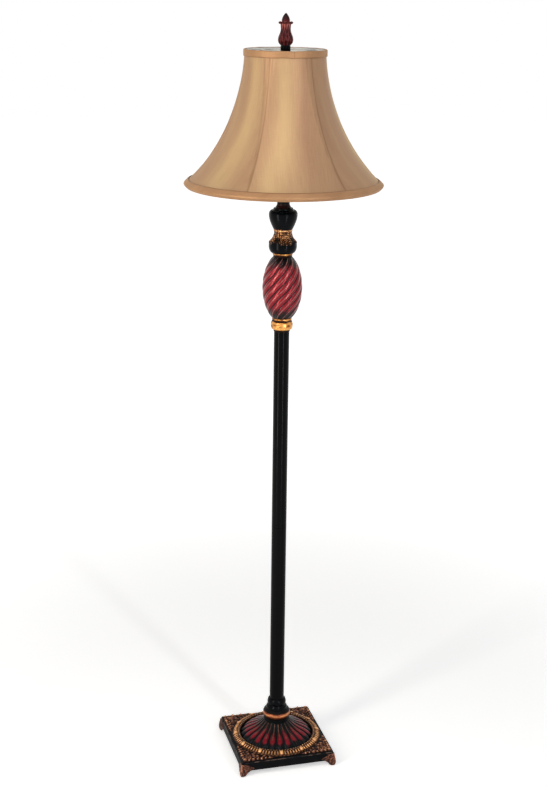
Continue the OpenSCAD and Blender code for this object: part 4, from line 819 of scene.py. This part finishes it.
def egg_tree():
    """Geometry Nodes: a fluted egg. A round profile runs up a straight rail that twists it and sets its
    radius to an ellipse; every flute is then cut by the distance across it"""
    tree = bpy.data.node_groups.new("Fluted egg", "GeometryNodeTree")
    face = tree.interface
    for name, kind in (("Geometry", "Geometry"), ("Foot", "Float"), ("Length", "Float"), ("Radius", "Float"),
                       ("End radius", "Float"), ("Flutes", "Int"), ("Points per flute", "Int"),
                       ("Flute depth", "Float"), ("Twist", "Float"), ("Steps", "Int"),
                       ("Finish", "Material")):
        face.new_socket(name, in_out="INPUT", socket_type="NodeSocket" + kind)
    face.new_socket("Geometry", in_out="OUTPUT", socket_type="NodeSocketGeometry")
    given = add(tree, "NodeGroupInput").outputs
    top_z = add(tree, "ShaderNodeMath", {0: given["Foot"], 1: given["Length"]}, operation="ADD")
    low = add(tree, "ShaderNodeCombineXYZ", {"Z": given["Foot"]})
    high = add(tree, "ShaderNodeCombineXYZ", {"Z": top_z})
    rail = add(tree, "GeometryNodeCurvePrimitiveLine", {"Start": low, "End": high})
    rail = add(tree, "GeometryNodeResampleCurve", {"Curve": rail, "Count": given["Steps"]})
    factor = add(tree, "GeometryNodeSplineParameter").outputs["Factor"]
    # radius = sqrt(1 - (height / half length)^2), with the ends cut where it is the end radius
    end = add(tree, "ShaderNodeMath", {0: given["End radius"], 1: given["Radius"]}, operation="DIVIDE")
    end = add(tree, "ShaderNodeMath", {0: end, 1: 2.0}, operation="POWER")
    span = add(tree, "ShaderNodeMath", {0: 1.0, 1: end}, operation="SUBTRACT")
    span = add(tree, "ShaderNodeMath", {0: span}, operation="SQRT")
    height = add(tree, "ShaderNodeMath", {0: factor, 1: 2.0, 2: -1.0}, operation="MULTIPLY_ADD")
    height = add(tree, "ShaderNodeMath", {0: height, 1: span}, operation="MULTIPLY")
    share = add(tree, "ShaderNodeMath", {0: height, 1: 2.0}, operation="POWER")
    share = add(tree, "ShaderNodeMath", {0: 1.0, 1: share}, operation="SUBTRACT")
    share = add(tree, "ShaderNodeMath", {0: share}, operation="SQRT")
    rail = add(tree, "GeometryNodeSetCurveRadius", {"Curve": rail, "Radius": share})
    tilt = add(tree, "ShaderNodeMath", {0: factor, 1: given["Twist"]}, operation="MULTIPLY")
    rail = add(tree, "GeometryNodeSetCurveTilt", {"Curve": rail, "Tilt": tilt})
    rail = add(tree, "GeometryNodeStoreNamedAttribute", {"Geometry": rail, "Name": "along", "Value": factor})
    points = add(tree, "ShaderNodeMath", {0: given["Flutes"], 1: given["Points per flute"]},
                 operation="MULTIPLY")
    profile = add(tree, "GeometryNodeCurvePrimitiveCircle", {"Resolution": points, "Radius": given["Radius"]})
    # each point's place across its flute, from -1 to 1, and how far the flute swells there
    across = add(tree, "GeometryNodeInputIndex")
    across = add(tree, "ShaderNodeMath", {0: across, 1: given["Points per flute"]}, operation="DIVIDE")
    across = add(tree, "ShaderNodeMath", {0: across}, operation="FRACT")
    across = add(tree, "ShaderNodeMath", {0: across, 1: 2.0, 2: -1.0}, operation="MULTIPLY_ADD")
    swell = add(tree, "ShaderNodeMath", {0: across, 1: 2.0}, operation="POWER")
    swell = add(tree, "ShaderNodeMath", {0: swell, 1: -0.92, 2: 1.0}, operation="MULTIPLY_ADD")
    swell = add(tree, "ShaderNodeMath", {0: swell}, operation="SQRT")
    profile = add(tree, "GeometryNodeStoreNamedAttribute", {"Geometry": profile, "Name": "relief",
                                                            "Value": swell})
    body = add(tree, "GeometryNodeCurveToMesh", {"Curve": rail, "Profile Curve": profile, "Scale": share,
                                                 "Fill Caps": True})
    # the cut is deepest half way up the egg
    cut = add(tree, "GeometryNodeInputNamedAttribute", {"Name": "relief"})
    cut = add(tree, "ShaderNodeMath", {0: 1.0, 1: cut}, operation="SUBTRACT")
    fade = add(tree, "GeometryNodeInputNamedAttribute", {"Name": "along"})
    fade = add(tree, "ShaderNodeMath", {0: fade, 1: pi}, operation="MULTIPLY")
    fade = add(tree, "ShaderNodeMath", {0: fade}, operation="SINE")
    fade = add(tree, "ShaderNodeMath", {0: fade, 1: 0.75, 2: 0.25}, operation="MULTIPLY_ADD")
    depth = add(tree, "ShaderNodeMath", {0: cut, 1: fade}, operation="MULTIPLY")
    depth = add(tree, "ShaderNodeMath", {0: depth, 1: given["Flute depth"]}, operation="MULTIPLY")
    depth = add(tree, "ShaderNodeMath", {0: depth, 1: -1.0}, operation="MULTIPLY")
    place = add(tree, "GeometryNodeInputPosition")
    way = add(tree, "ShaderNodeVectorMath", {0: place, 1: (1.0, 1.0, 0.0)}, operation="MULTIPLY")
    way = add(tree, "ShaderNodeVectorMath", {0: way}, operation="NORMALIZE")
    way = add(tree, "ShaderNodeVectorMath", {0: way, "Scale": depth}, operation="SCALE")
    body = add(tree, "GeometryNodeSetPosition", {"Geometry": body, "Offset": way})
    body = add(tree, "GeometryNodeSetShadeSmooth", {"Geometry": body})
    body = add(tree, "GeometryNodeSetMaterial", {"Geometry": body, "Material": given["Finish"]})
    add(tree, "NodeGroupOutput", {"Geometry": body})
    return tree


def fluted_egg():
    """The egg, red on its flutes and dark towards both ends"""
    holder = copy_points("egg_start", [((0, 0, 0), (0, 0, 0), (1, 1, 1))])
    made = run_tree(holder, egg_tree(), {
        "Foot": EGG_Z * MM, "Length": EGG_H * MM, "Radius": EGG_R * MM, "End radius": EGG_END_R * MM,
        "Flutes": EGG_FLUTES, "Points per flute": 18, "Flute depth": 3.2 * MM, "Twist": radians(EGG_TWIST),
        "Steps": 97, "Finish": FINISH["egg_red"]}, "fluted_red_egg")
    mesh = made.data
    face_outward(mesh)
    spots = np.zeros(len(mesh.vertices) * 3)
    mesh.vertices.foreach_get("co", spots)
    spots = spots.reshape(-1, 3) / MM
    v = (spots[:, 2] - EGG_Z) / EGG_H + 0.05 * noise_at(*(spots / 11).T)
    set_value(mesh, "tone", smooth_step(v, 0.0, 0.24) * (1 - smooth_step(v, 0.8, 1.0)))
    return made


def egg_ring():
    """The thin gold ring that the bowl stands on"""
    z, r = EGG_RING_Z, EGG_END_R
    profile = [(r - 1, z), (r - 1.2, z + 1), (r - 0.4, z + 4), (r + 0.4, z + 5.6), (r + 1, z + 7.0),
               (r + 1, z + 8)]
    return turned_piece("gold_egg_ring", profile, "gold_resin", wear=1.2, level=0.45,
                        glaze=((z + 3.2, z + 5.6),))


def dome_band():
    """The dark neck between the dome and the half-round ring"""
    z, r = SLAB_TOP + DOME_H, DOME_TOP_R
    profile = [(r, z), (r, z + 1.5), (r - 1, z + 3), (r - 0.4, z + 6)]
    return turned_piece("dark_dome_band", profile, "band_black", wear=1.5)


def half_round():
    """The copper half-round ring: a painted highlight along its middle, darker at its foot and top"""
    z = HALF_ROUND_Z
    profile = [(27.6, z), (27.2, z + 2), (27.5, z + 4.4), (28.7, z + 5.6), (29.8, z + 8), (30.2, z + 11),
               (29.9, z + 14), (28.8, z + 17), (27.6, z + 18.8), (26.2, z + 20.6), (24.9, z + 22),
               (23.6, z + 23)]
    # the level's band along the middle is a painted highlight
    return turned_piece("copper_half_round", profile, "copper_resin", wear=0.8,
                        level=lambda h: 0.34 + 0.5 * bell(h - z - 12.5, 2.6),
                        glaze=((z + 3.6, z + 6.0), (z + 18.6, z + 15.6)))


def leaf_collar():
    """A gold waist above the bowl with a bead on top. Four broad leaves, stippled, are carved out of its
    flare and lie out over the bowl's lip, with dark glaze in the gaps between them"""
    h, n, reach, widest = COLLAR_H, 208, 33, 0.24  # a leaf's half width in degrees, and where it has it
    flare = ((28.3, 0.02), (28.7, 0.08), (28.3, 0.13), (26.4, 0.2), (24.0, 0.28), (22.0, 0.36), (20.6, 0.44),
             (19.7, 0.52), (19.2, 0.6), (19.1, 0.7), (19.4, 0.8), (20.3, 0.86), (20.5, 0.91), (19.9, 0.96),
             (19.6, 1.0))
    p = np.vstack([rounded([(r, h * t) for r, t in flare], 0.45, 2), [(BORE_R, h), (BORE_R, 0.3)]])[::-1]
    a = circle(n)
    off = (np.degrees(a) + 45) % 90 - 45  # degrees from the nearest leaf's spine
    rows, relief = [], []
    for r, z in p:
        t = z / h
        if t < widest:
            wide = max(reach * sqrt(max(0.0, 1 - ((t - widest) / 0.4) ** 2)), 9)
        else:
            wide = max(reach * (1 - ((t - widest) / 0.5) ** 2), 0.1)
        leaf = (1 - smooth_step(np.abs(off), wide - 4, wide)) * (1 - smooth_step(t, 0.6, 0.7)) * (r > 8)
        spine = bell(off, 3.0) * leaf
        dots = np.sin(np.radians(off) * 26) * np.sin(z * 1.75)
        gap = 3.2 * (1 - smooth_step(t, 0.0, 0.3)) * (1 - leaf) * (r > 20)
        push = 1.1 * leaf + 0.5 * spine + 0.25 * dots * (t < 0.62) * (r > 8) - gap - 1.1
        rows.append(ring_row(a, r + push, COLLAR_Z + z))
        shine = (0.3 + 0.4 * smooth_step(t, 0.08, 0.3)) * leaf + 0.12 * spine + 0.24 * dots * leaf
        bead = smooth_step(t, 0.8, 0.88) * (1 - smooth_step(t, 0.93, 0.97))
        band = 0.5 * smooth_step(t, 0.36, 0.5) + 0.5 * bead
        relief.append(np.clip(np.maximum(shine, band + 0.22 * dots), 0, 1))
    return skin("gold_leaf_collar", rows, "stippled_gold", {"relief": relief}, loop=True)


stand_for(egg_collar(), "stand", "egg_collar")
stand_for(fluted_egg(), "stand", "fluted_egg")
stand_for(egg_ring(), "stand", "egg_ring")
stand_for(dome_band(), "stand", "dome_band")
stand_for(half_round(), "stand", "gold_ring")
stand_for(leaf_collar(), "stand", "leaf_collar")

# ---- Finial ----


def finial_bud():
    """The carved bud: pointed leaves wrap its bulb, ribs run up its neck to a ring of knobs, and a
    plain pointed crown stands on top"""
    neck, knob_at, n = FINIAL_R * 0.66, FINIAL_H * 0.7, 168
    bulb = ((9.6, 0), (12.4, 0.046), (14.3, 0.093), (15.0, 0.14), (15.0, 0.18), (14.6, 0.225), (13.8, 0.278),
            (12.6, 0.325), (11.4, 0.37), (10.4, 0.42), (neck, 0.47), (neck, 0.54), (neck + 0.4, 0.6))
    crown = ((neck + 0.9, -1), (neck - 0.6, 1.8), (8.2, 4), (7.6, 7), (6.4, 10.4), (4.7, 13.4), (2.8, 16),
             (1.4, 17.6))
    profile = [(r, FINIAL_H * t) for r, t in bulb] + [(r, knob_at + up) for r, up in crown]
    profile.append((0.4, FINIAL_H))
    a = circle(n)
    deg = np.degrees(a)
    rows, relief = [], []
    for r, z in rounded(profile, 0.7, 2)[::-1]:
        t = z / FINIAL_H
        # each leaf's two edges start together at its point and part as they go down
        lines = np.zeros(n)
        for shift, point in ((0, 0.5), (30, 0.36)):
            apart = 30 * sqrt(min(1.0, max(0.0, (point - t) / point)))
            off = (deg + shift + 30) % 60 - 30
            lines = np.maximum(lines, bell(np.abs(off) - apart, 4.0) * (t < point + 0.03))
            lines = np.maximum(lines, 0.5 * bell(off, 3.0) * (t < point - 0.08))
        ribs = (0.5 + 0.5 * np.cos(np.radians(deg * 12))) * smooth_step(t, 0.42, 0.52) * \
            (1 - smooth_step(t, 0.64, 0.7))
        raised = np.maximum(lines, ribs)
        carved = 1 - smooth_step(t, 0.74, 0.78)
        cut = (1 - raised) * 0.9 * carved * smooth_step(t, 0.02, 0.06)
        rows.append(ring_row(a, np.maximum(r - cut * min(1.0, r / 4), 0.05), FINIAL_Z + z))
        # painted glow: a brighter band up the neck to the ring of knobs; the tip is darker
        painted_glow = 0.26 + 0.3 * smooth_step(t, 0.46, 0.66) * (1 - smooth_step(t, 0.74, 0.84))
        relief.append(np.clip(painted_glow + 0.42 * raised * carved - 0.28 * smooth_step(t, 0.88, 1.0), 0, 1))
    body = skin("bud_body", rows, "finial_red", {"relief": relief})
    knob = petal("knob", "finial_red", 1.0)
    places = []
    for i in range(FINIAL_KNOBS):
        angle = 360 / FINIAL_KNOBS * i + 15
        for flip in (0, 180):
            places.append((around(FINIAL_R - 5.6, angle, FINIAL_Z + knob_at), turn_at(angle, 0, flip),
                           (6.4, 6.0, 3.0)))
    return joined("carved_finial", [body, copies_of(knob, places, "bud_knobs", "finial_red")], (knob,))


stand_for(finial_bud(), "finial", "finial")

# ---- Shade ----


def arc_angle(v):
    """The angle on the section's arc for a share of the way from the top edge to the bottom edge"""
    return ARC_TOP + (ARC_BOTTOM - ARC_TOP) * v


def arc_point(a, depth):
    """A point of the shade's section at an angle along its arc, so far in from the cloth's outer face"""
    return (ARC_CENTRE_R - (SHADE_ARC_R + depth) * np.cos(np.radians(a)),
            ARC_CENTRE_Z - (SHADE_ARC_R + depth) * np.sin(np.radians(a)))


def panel_share(t, v):
    """How far a panel pulls in between its ribs, as a share of the radius"""
    return 1 - 0.4 * np.sin(pi * v) * (1 - cos(radians(30)) / np.cos(np.radians((t - 0.5) * 60)))


def cloth_uv(rows, cols, panels, width, length):
    """A map in metres: along a panel's width from its middle, and down from the top edge"""

    def fill(mesh, corners):
        uv = np.zeros((len(corners), 2))
        for poly in mesh.polygons:
            face = slice(poly.loop_start, poly.loop_start + poly.loop_total)
            i, j = corners[face] // cols, corners[face] % cols
            j = np.where((j.max() - j.min() > cols / 2) & (j == 0), cols, j)
            per = cols / panels
            panel = np.floor(j.min() / per)
            row = np.minimum(i, rows - 1)
            uv[face, 0] = (j - (panel + 0.5) * per) / cols * width[row] * MM + panel * 0.37
            uv[face, 1] = length[row] * MM
        return uv

    return fill


def shade_layer(name, slot, v0, v1, depth, wall, steps, per, shape, marks=None):
    """One cloth layer of the shade: an outer and an inner face that follow the six panels"""
    cols = PANELS * per
    j = np.arange(cols)
    t, panel = (j % per) / per, j // per
    a = np.radians(RIB_TURN) + 2 * pi * j / cols
    rows, seams, glows, widths, lengths = [], [], [], [], []
    outer_v = np.linspace(v0, v1, steps + 1)
    for inner, vs in ((0, outer_v), (1, outer_v[::-1])):
        for v in vs:
            r, z = arc_point(arc_angle(v), depth + wall * inner - shape(t, v, a, panel))
            r = r * panel_share(t, v)
            marked = marks is not None and not inner
            rows.append(ring_row(a, r, z))
            seams.append(marks(t, v) if marked else np.zeros(cols))
            glows.append(painted_cloth_sheen(t, v, panel) if marked else np.zeros(cols))
            widths.append(2 * pi * float(np.mean(r)))
            lengths.append(SHADE_ARC_R * radians(arc_angle(v) - ARC_TOP))
    uv = cloth_uv(len(rows), cols, PANELS, np.array(widths), np.array(lengths))
    return skin(name, rows, slot, {"seam": seams, "painted_glow": glows}, loop=True, uv=uv)


def seam_distance(t, v):
    """Millimetres to the right of the nearest seam, below 0 on its left"""
    return np.where(t > 0.5, t - 1, t) * 2 * pi * arc_point(arc_angle(v), 0)[0] / PANELS


def strip_width(v):
    """The folded seam allowance shows through as a strip that narrows from 15 mm to 2 mm"""
    return 15.0 - 13.0 * min(v / 0.95, 1.0) ** 0.7


def cover_shape(t, v, a, panel):
    """Outward steps of the cover: a groove at each seam, the allowance's ridge, slack and puckers"""
    d, strip = seam_distance(t, v), strip_width(v)
    ridge = 0.1 * smooth_step(d, -strip - 1.2, -strip + 0.4) * (1 - smooth_step(d, -1.5, 0))
    near = bell(d, 22) * (1 - smooth_step(v, 0.25, 0.62))
    folds = noise_at(d * 0.33, v * 5.0, panel * 7.3)
    slack = noise_round(a, 3.1, v * 2.2) * sin(pi * v)
    # the cloth is drawn tight from top to bottom, so its slack lies in soft bands along each panel
    bands = noise_at(t * 3.6, panel * 4.7, v * 0.8) * np.sin(pi * t) ** 0.6 * sin(pi * v) ** 0.5
    ends = min(1.0, v / 0.04, (1 - v) / 0.04)
    return (-0.5 * bell(d, 1.1) + ridge + 0.4 * near * folds + 0.4 * slack + 1.5 * bands - 0.3) * ends


def cover_seams_and_painted_shade(t, v):
    """Darker along each seam: in the seam's groove partly the seam line and partly painted shade, a painted
    shade line at the allowance's edge, and a little darker where the allowance lies under the cloth
    """
    d, strip = seam_distance(t, v), strip_width(v)
    under = 0.16 * smooth_step(d, -strip - 0.6, -strip) * (1 - smooth_step(d, -1.2, 0.2))
    return np.clip(under + 0.2 * bell(d + strip, 0.9) + 0.55 * bell(d, 0.85), 0, 1)


def painted_cloth_sheen(t, v, panel):
    """A painted sheen: one broad soft band on each panel is painted gold, standing in for the satin's shine
    where its floats lie flat; towards the seams the cloth looks more brown. The band lies elsewhere on each
    panel"""
    middle = np.array(PAINTED_SHEEN_AT)[panel] + 0.05 * sin(5 * v)
    return bell(t - middle, np.where(t < middle, 0.17, 0.25)) * (0.78 + 0.22 * sin(2.6 * v))


def lining_shape(t, v, a, panel):
    """The lining runs up over the top ring's wire and out to the trim, a little slack between its ribs"""
    slack = noise_at(np.cos(a) * 2.3 + 9, np.sin(a) * 2.3, v * 3)
    return 4.2 * (1 - smooth_step(v, 0.0, 0.012)) + 0.35 * slack * sin(pi * v) - 0.3


def band(name, outer, wave, marks):
    """A folded strip of cloth round an edge: outer is the run of its outer face in (r, z). wave gives each
    row's steps out and up, and marks its darker places, painted shade along its edges and at its lap, for the
    angles a and the row's number"""
    n = 360
    a = circle(n)
    outer = np.asarray(outer, float)
    tangent = np.gradient(outer, axis=0)
    side = np.stack([-tangent[:, 1], tangent[:, 0]], -1)
    side /= np.maximum(np.hypot(*side.T), 1e-6)[:, None]
    section = np.vstack([outer, (outer + side * CLOTH_WALL)[::-1]])
    m = len(section)
    rows, seams = [], []
    for i, (r, z) in enumerate(section):
        out, up = wave(a, i)
        rows.append(ring_row(a, r + out, z + up))
        seams.append(marks(a, i in (0, 1, m - 1, m - 2)))
    step = np.concatenate([[0], np.cumsum(np.hypot(*np.diff(section, axis=0).T))])
    uv = cloth_uv(m, n, 1, 2 * pi * section[:, 0], step)
    return skin(name, rows, "shade_trim", {"seam": seams}, loop=True, uv=uv)


def top_trim():
    """The band that folds over the top ring, with its ends lapped at the front"""
    r, top = 82.5, SHADE_TOP_Z + 1.3
    outer = [(r - 0.35, top - 13.1), (r, top - 12.6), (r + 0.05, top - 11.2)]
    outer += [(r + 0.05, top - h) for h in np.linspace(10, 2.2, 6)]
    outer += [(r - 0.4, top - 0.7), (r - 1.2, top - 0.1), (r - 2.0, top + 0.05), (r - 2.8, top - 0.1),
              (r - 3.4, top - 0.5), (r - 3.6, top - 1.1)]

    def past_lap(a):
        return ((a - radians(JOIN_ANGLE) + pi) % (2 * pi) - pi) * r

    def wave(a, i):
        past = past_lap(a)
        step = -0.3 * smooth_step(past, -0.5, 0.5) * (1 - smooth_step(past, 2, 60))
        slack, fine = noise_round(a, 5, 0.3), noise_round(a, 19, i * 0.12)
        return step + 0.25 * slack - 0.28 + 0.12 * fine, 0.35 * slack - 0.3 - 0.25 * (np.abs(past) < 5)

    def marks(a, at_edge):
        # painted shade along the band's edges, and a painted shade line where its ends lap
        return np.clip(0.35 * at_edge + 0.8 * bell(past_lap(a), 0.7), 0, 1)

    return band("top_band", rounded(outer, 0.9, 1), wave, marks)


def bottom_trim():
    """The band that folds round the bottom ring"""
    outer = [arc_point(ARC_BOTTOM - 1.9 + 1.85 * u, 0.1 - 1.1 * float(smooth_step(u, 0.0, 0.25)))
             for u in np.linspace(0, 1, 16)]
    outer += [arc_point(ARC_BOTTOM + 0.12, depth) for depth in (0.5, 2.5, 5.0, 7.6)]
    outer += [arc_point(a, 8.7) for a in np.linspace(ARC_BOTTOM - 0.05, ARC_BOTTOM - 0.9, 5)]

    def wave(a, i):
        slack, fine = noise_round(a, 4, 2.3), noise_round(a, 26, 1.0 + i * 0.1)
        return 0.25 * slack + 0.1 * fine - 0.15, 0.25 * slack

    def marks(a, at_edge):
        # painted shade along the band's edges
        return np.full(len(a), 0.4 * at_edge)

    return band("bottom_band", rounded(outer, 1.1, 1), wave, marks)


def felt_cover():
    """The card and felt cover under the base: a soft rounded square"""
    half, low, top = 97.7, SLAB_FOOT, SLAB_FOOT + 2
    square = square_row(30)
    rows = []
    for r, z in ((4, top), (half * 0.6, top), (half - 0.6, top), (half, top - 0.4), (half - 0.1, low + 0.6),
                 (half - 0.9, low + 0.05), (half * 0.6, low), (4, low)):
        rows.append(np.column_stack([square * r, z + 0.06 * noise_at(*(square * 4).T, r * 0.1)]))
    return skin("felt_cover", rows, "felt_green")


cover = shade_layer("satin_cover", "shade_fabric", 0.0, 1.0, 0.25, 0.6, 72, 60, cover_shape, cover_seams_and_painted_shade)
lining = shade_layer("shade_liner", "shade_lining", 0.0, 0.996, 6.6, 0.4, 36, 24, lining_shape)
top_band, bottom_band = top_trim(), bottom_trim()
stand_for(cover, "shade", "shade_cover")
stand_for(lining, "shade", "shade_lining")
stand_for(top_band, "shade", "top_trim")
stand_for(bottom_band, "shade", "bottom_trim")
stand_for(felt_cover(), "stand", "base_cover")


# ---- Camera, floor and lights ----

VIEW_TURN = -15.3  # degrees that the photograph looks at the lamp's base from the side
CAMERA_SIDE = VIEW_TURN - 90  # the camera's direction from the pole, in the lamp's own frame


def aim_camera():
    """The photograph's camera, as fitted to the lamp's outline"""
    focal_px, height_px = 1417.8, 787.0
    distance, height = 2.8355, 1.6813
    pitch, yaw, roll = radians(16.68), -0.00538, 0.01209
    forward = Vector((sin(yaw) * cos(pitch), cos(yaw) * cos(pitch), -sin(pitch)))
    right = Vector((cos(yaw), -sin(yaw), 0))
    up = right.cross(forward)
    image_right = cos(roll) * right + sin(roll) * up
    image_up = cos(roll) * up - sin(roll) * right
    turn = Matrix.Rotation(radians(VIEW_TURN), 3, "Z")
    axes = Matrix([turn @ image_right, turn @ image_up, turn @ -forward]).transposed()
    lens = bpy.data.cameras.new("view")
    lens.sensor_width = 36.0
    lens.lens = focal_px * lens.sensor_width / height_px
    eye = placed("view", lens)
    eye.matrix_world = Matrix.Translation(turn @ Vector((0, -distance, height))) @ axes.to_4x4()
    bpy.context.scene.camera = eye


def soft_box(name, angle, distance, height, size, watts, colour):
    """A rectangle of light at an angle round the lamp, aimed at the lamp's middle"""
    lamp = bpy.data.lights.new(name, "AREA")
    lamp.shape, lamp.size, lamp.size_y = "RECTANGLE", size[0], size[1]
    lamp.energy, lamp.color = watts, linear(colour)[:3]
    box = placed(name, lamp)
    box.location = around(distance, angle, height)
    box.rotation_euler = (Vector((0, 0, 0.9)) - box.location).to_track_quat("-Z", "Y").to_euler()
    box.visible_camera = False


def direct_rays(tree):
    """1 for the rays that carry the background to the camera: straight, by gloss or through glass"""
    rays = add(tree, "ShaderNodeLightPath").outputs
    seen = add(tree, "ShaderNodeMath", {0: rays["Is Camera Ray"], 1: rays["Is Glossy Ray"]},
               operation="MAXIMUM")
    return add(tree, "ShaderNodeMath", {0: seen, 1: rays["Is Transmission Ray"]}, operation="MAXIMUM")


def stage_floor():
    """A wide pale floor; the camera sees it a little lighter than it is, so that it runs to white, and
    the lamp's shadow stays on it"""
    sides, radius = 96, 14
    material, tree, shader = new_finish("Pale studio floor", {
        "Roughness": 0.85, "Specular IOR Level": 0.1, "Emission Color": (1, 1, 1, 1)})
    place = add(tree, "ShaderNodeTexCoord").outputs["Object"]
    cloud = add(tree, "ShaderNodeTexNoise", {"Vector": place, "Scale": 1.3, "Detail": 2.0})
    tone = add(tree, "ShaderNodeValToRGB", {"Fac": cloud}, stops=[(0.3, "#f3f3f2"), (0.7, "#f6f6f5")])
    from_lamp = add(tree, "ShaderNodeVectorMath", {0: place}, operation="LENGTH")
    far = add(tree, "ShaderNodeMapRange", {"Value": from_lamp, "From Min": 0.5, "From Max": 2.4,
                                           "To Min": 0.5, "To Max": 0.95}, interpolation_type="SMOOTHSTEP")
    lift = add(tree, "ShaderNodeMath", {0: direct_rays(tree), 1: far}, operation="MULTIPLY")
    feed(tree, shader, {"Base Color": tone, "Emission Strength": lift})
    mesh = bpy.data.meshes.new("floor")
    edge = [(radius * cos(t), radius * sin(t), 0.0) for t in circle(sides)]
    mesh.from_pydata(edge, [], [tuple(range(sides))])
    mesh.materials.append(material)
    placed("floor", mesh)


def studio_world():
    """White where the camera looks past the lamp, and a dim even fill for everything else"""
    world = bpy.data.worlds.new("studio")
    bpy.context.scene.world = world
    world.use_nodes = True
    tree = world.node_tree
    tree.nodes.clear()
    level = add(tree, "ShaderNodeMapRange", {"Value": direct_rays(tree), "To Min": 0.16, "To Max": 1.0})
    sky = add(tree, "ShaderNodeBackground", {"Color": linear("#ffffff"), "Strength": level})
    add(tree, "ShaderNodeOutputWorld", {"Surface": sky})


aim_camera()
stage_floor()
studio_world()
soft_box("left_strip", CAMERA_SIDE - 44, 1.7, 1.2, (0.3, 2.3), 22, "#fffaf0")
soft_box("right_strip", CAMERA_SIDE + 30, 1.7, 1.1, (0.1, 2.2), 13, "#f6f8ff")
soft_box("top_box", CAMERA_SIDE, 1.2, 2.9, (1.4, 1.4), 11, "#ffffff")
soft_box("back_left", CAMERA_SIDE - 130, 2.0, 1.6, (0.6, 1.8), 2.5, "#ffffff")
soft_box("back_right", CAMERA_SIDE + 130, 2.0, 1.6, (0.6, 1.8), 2.5, "#ffffff")

bpy.context.scene.view_settings.view_transform = "Standard"
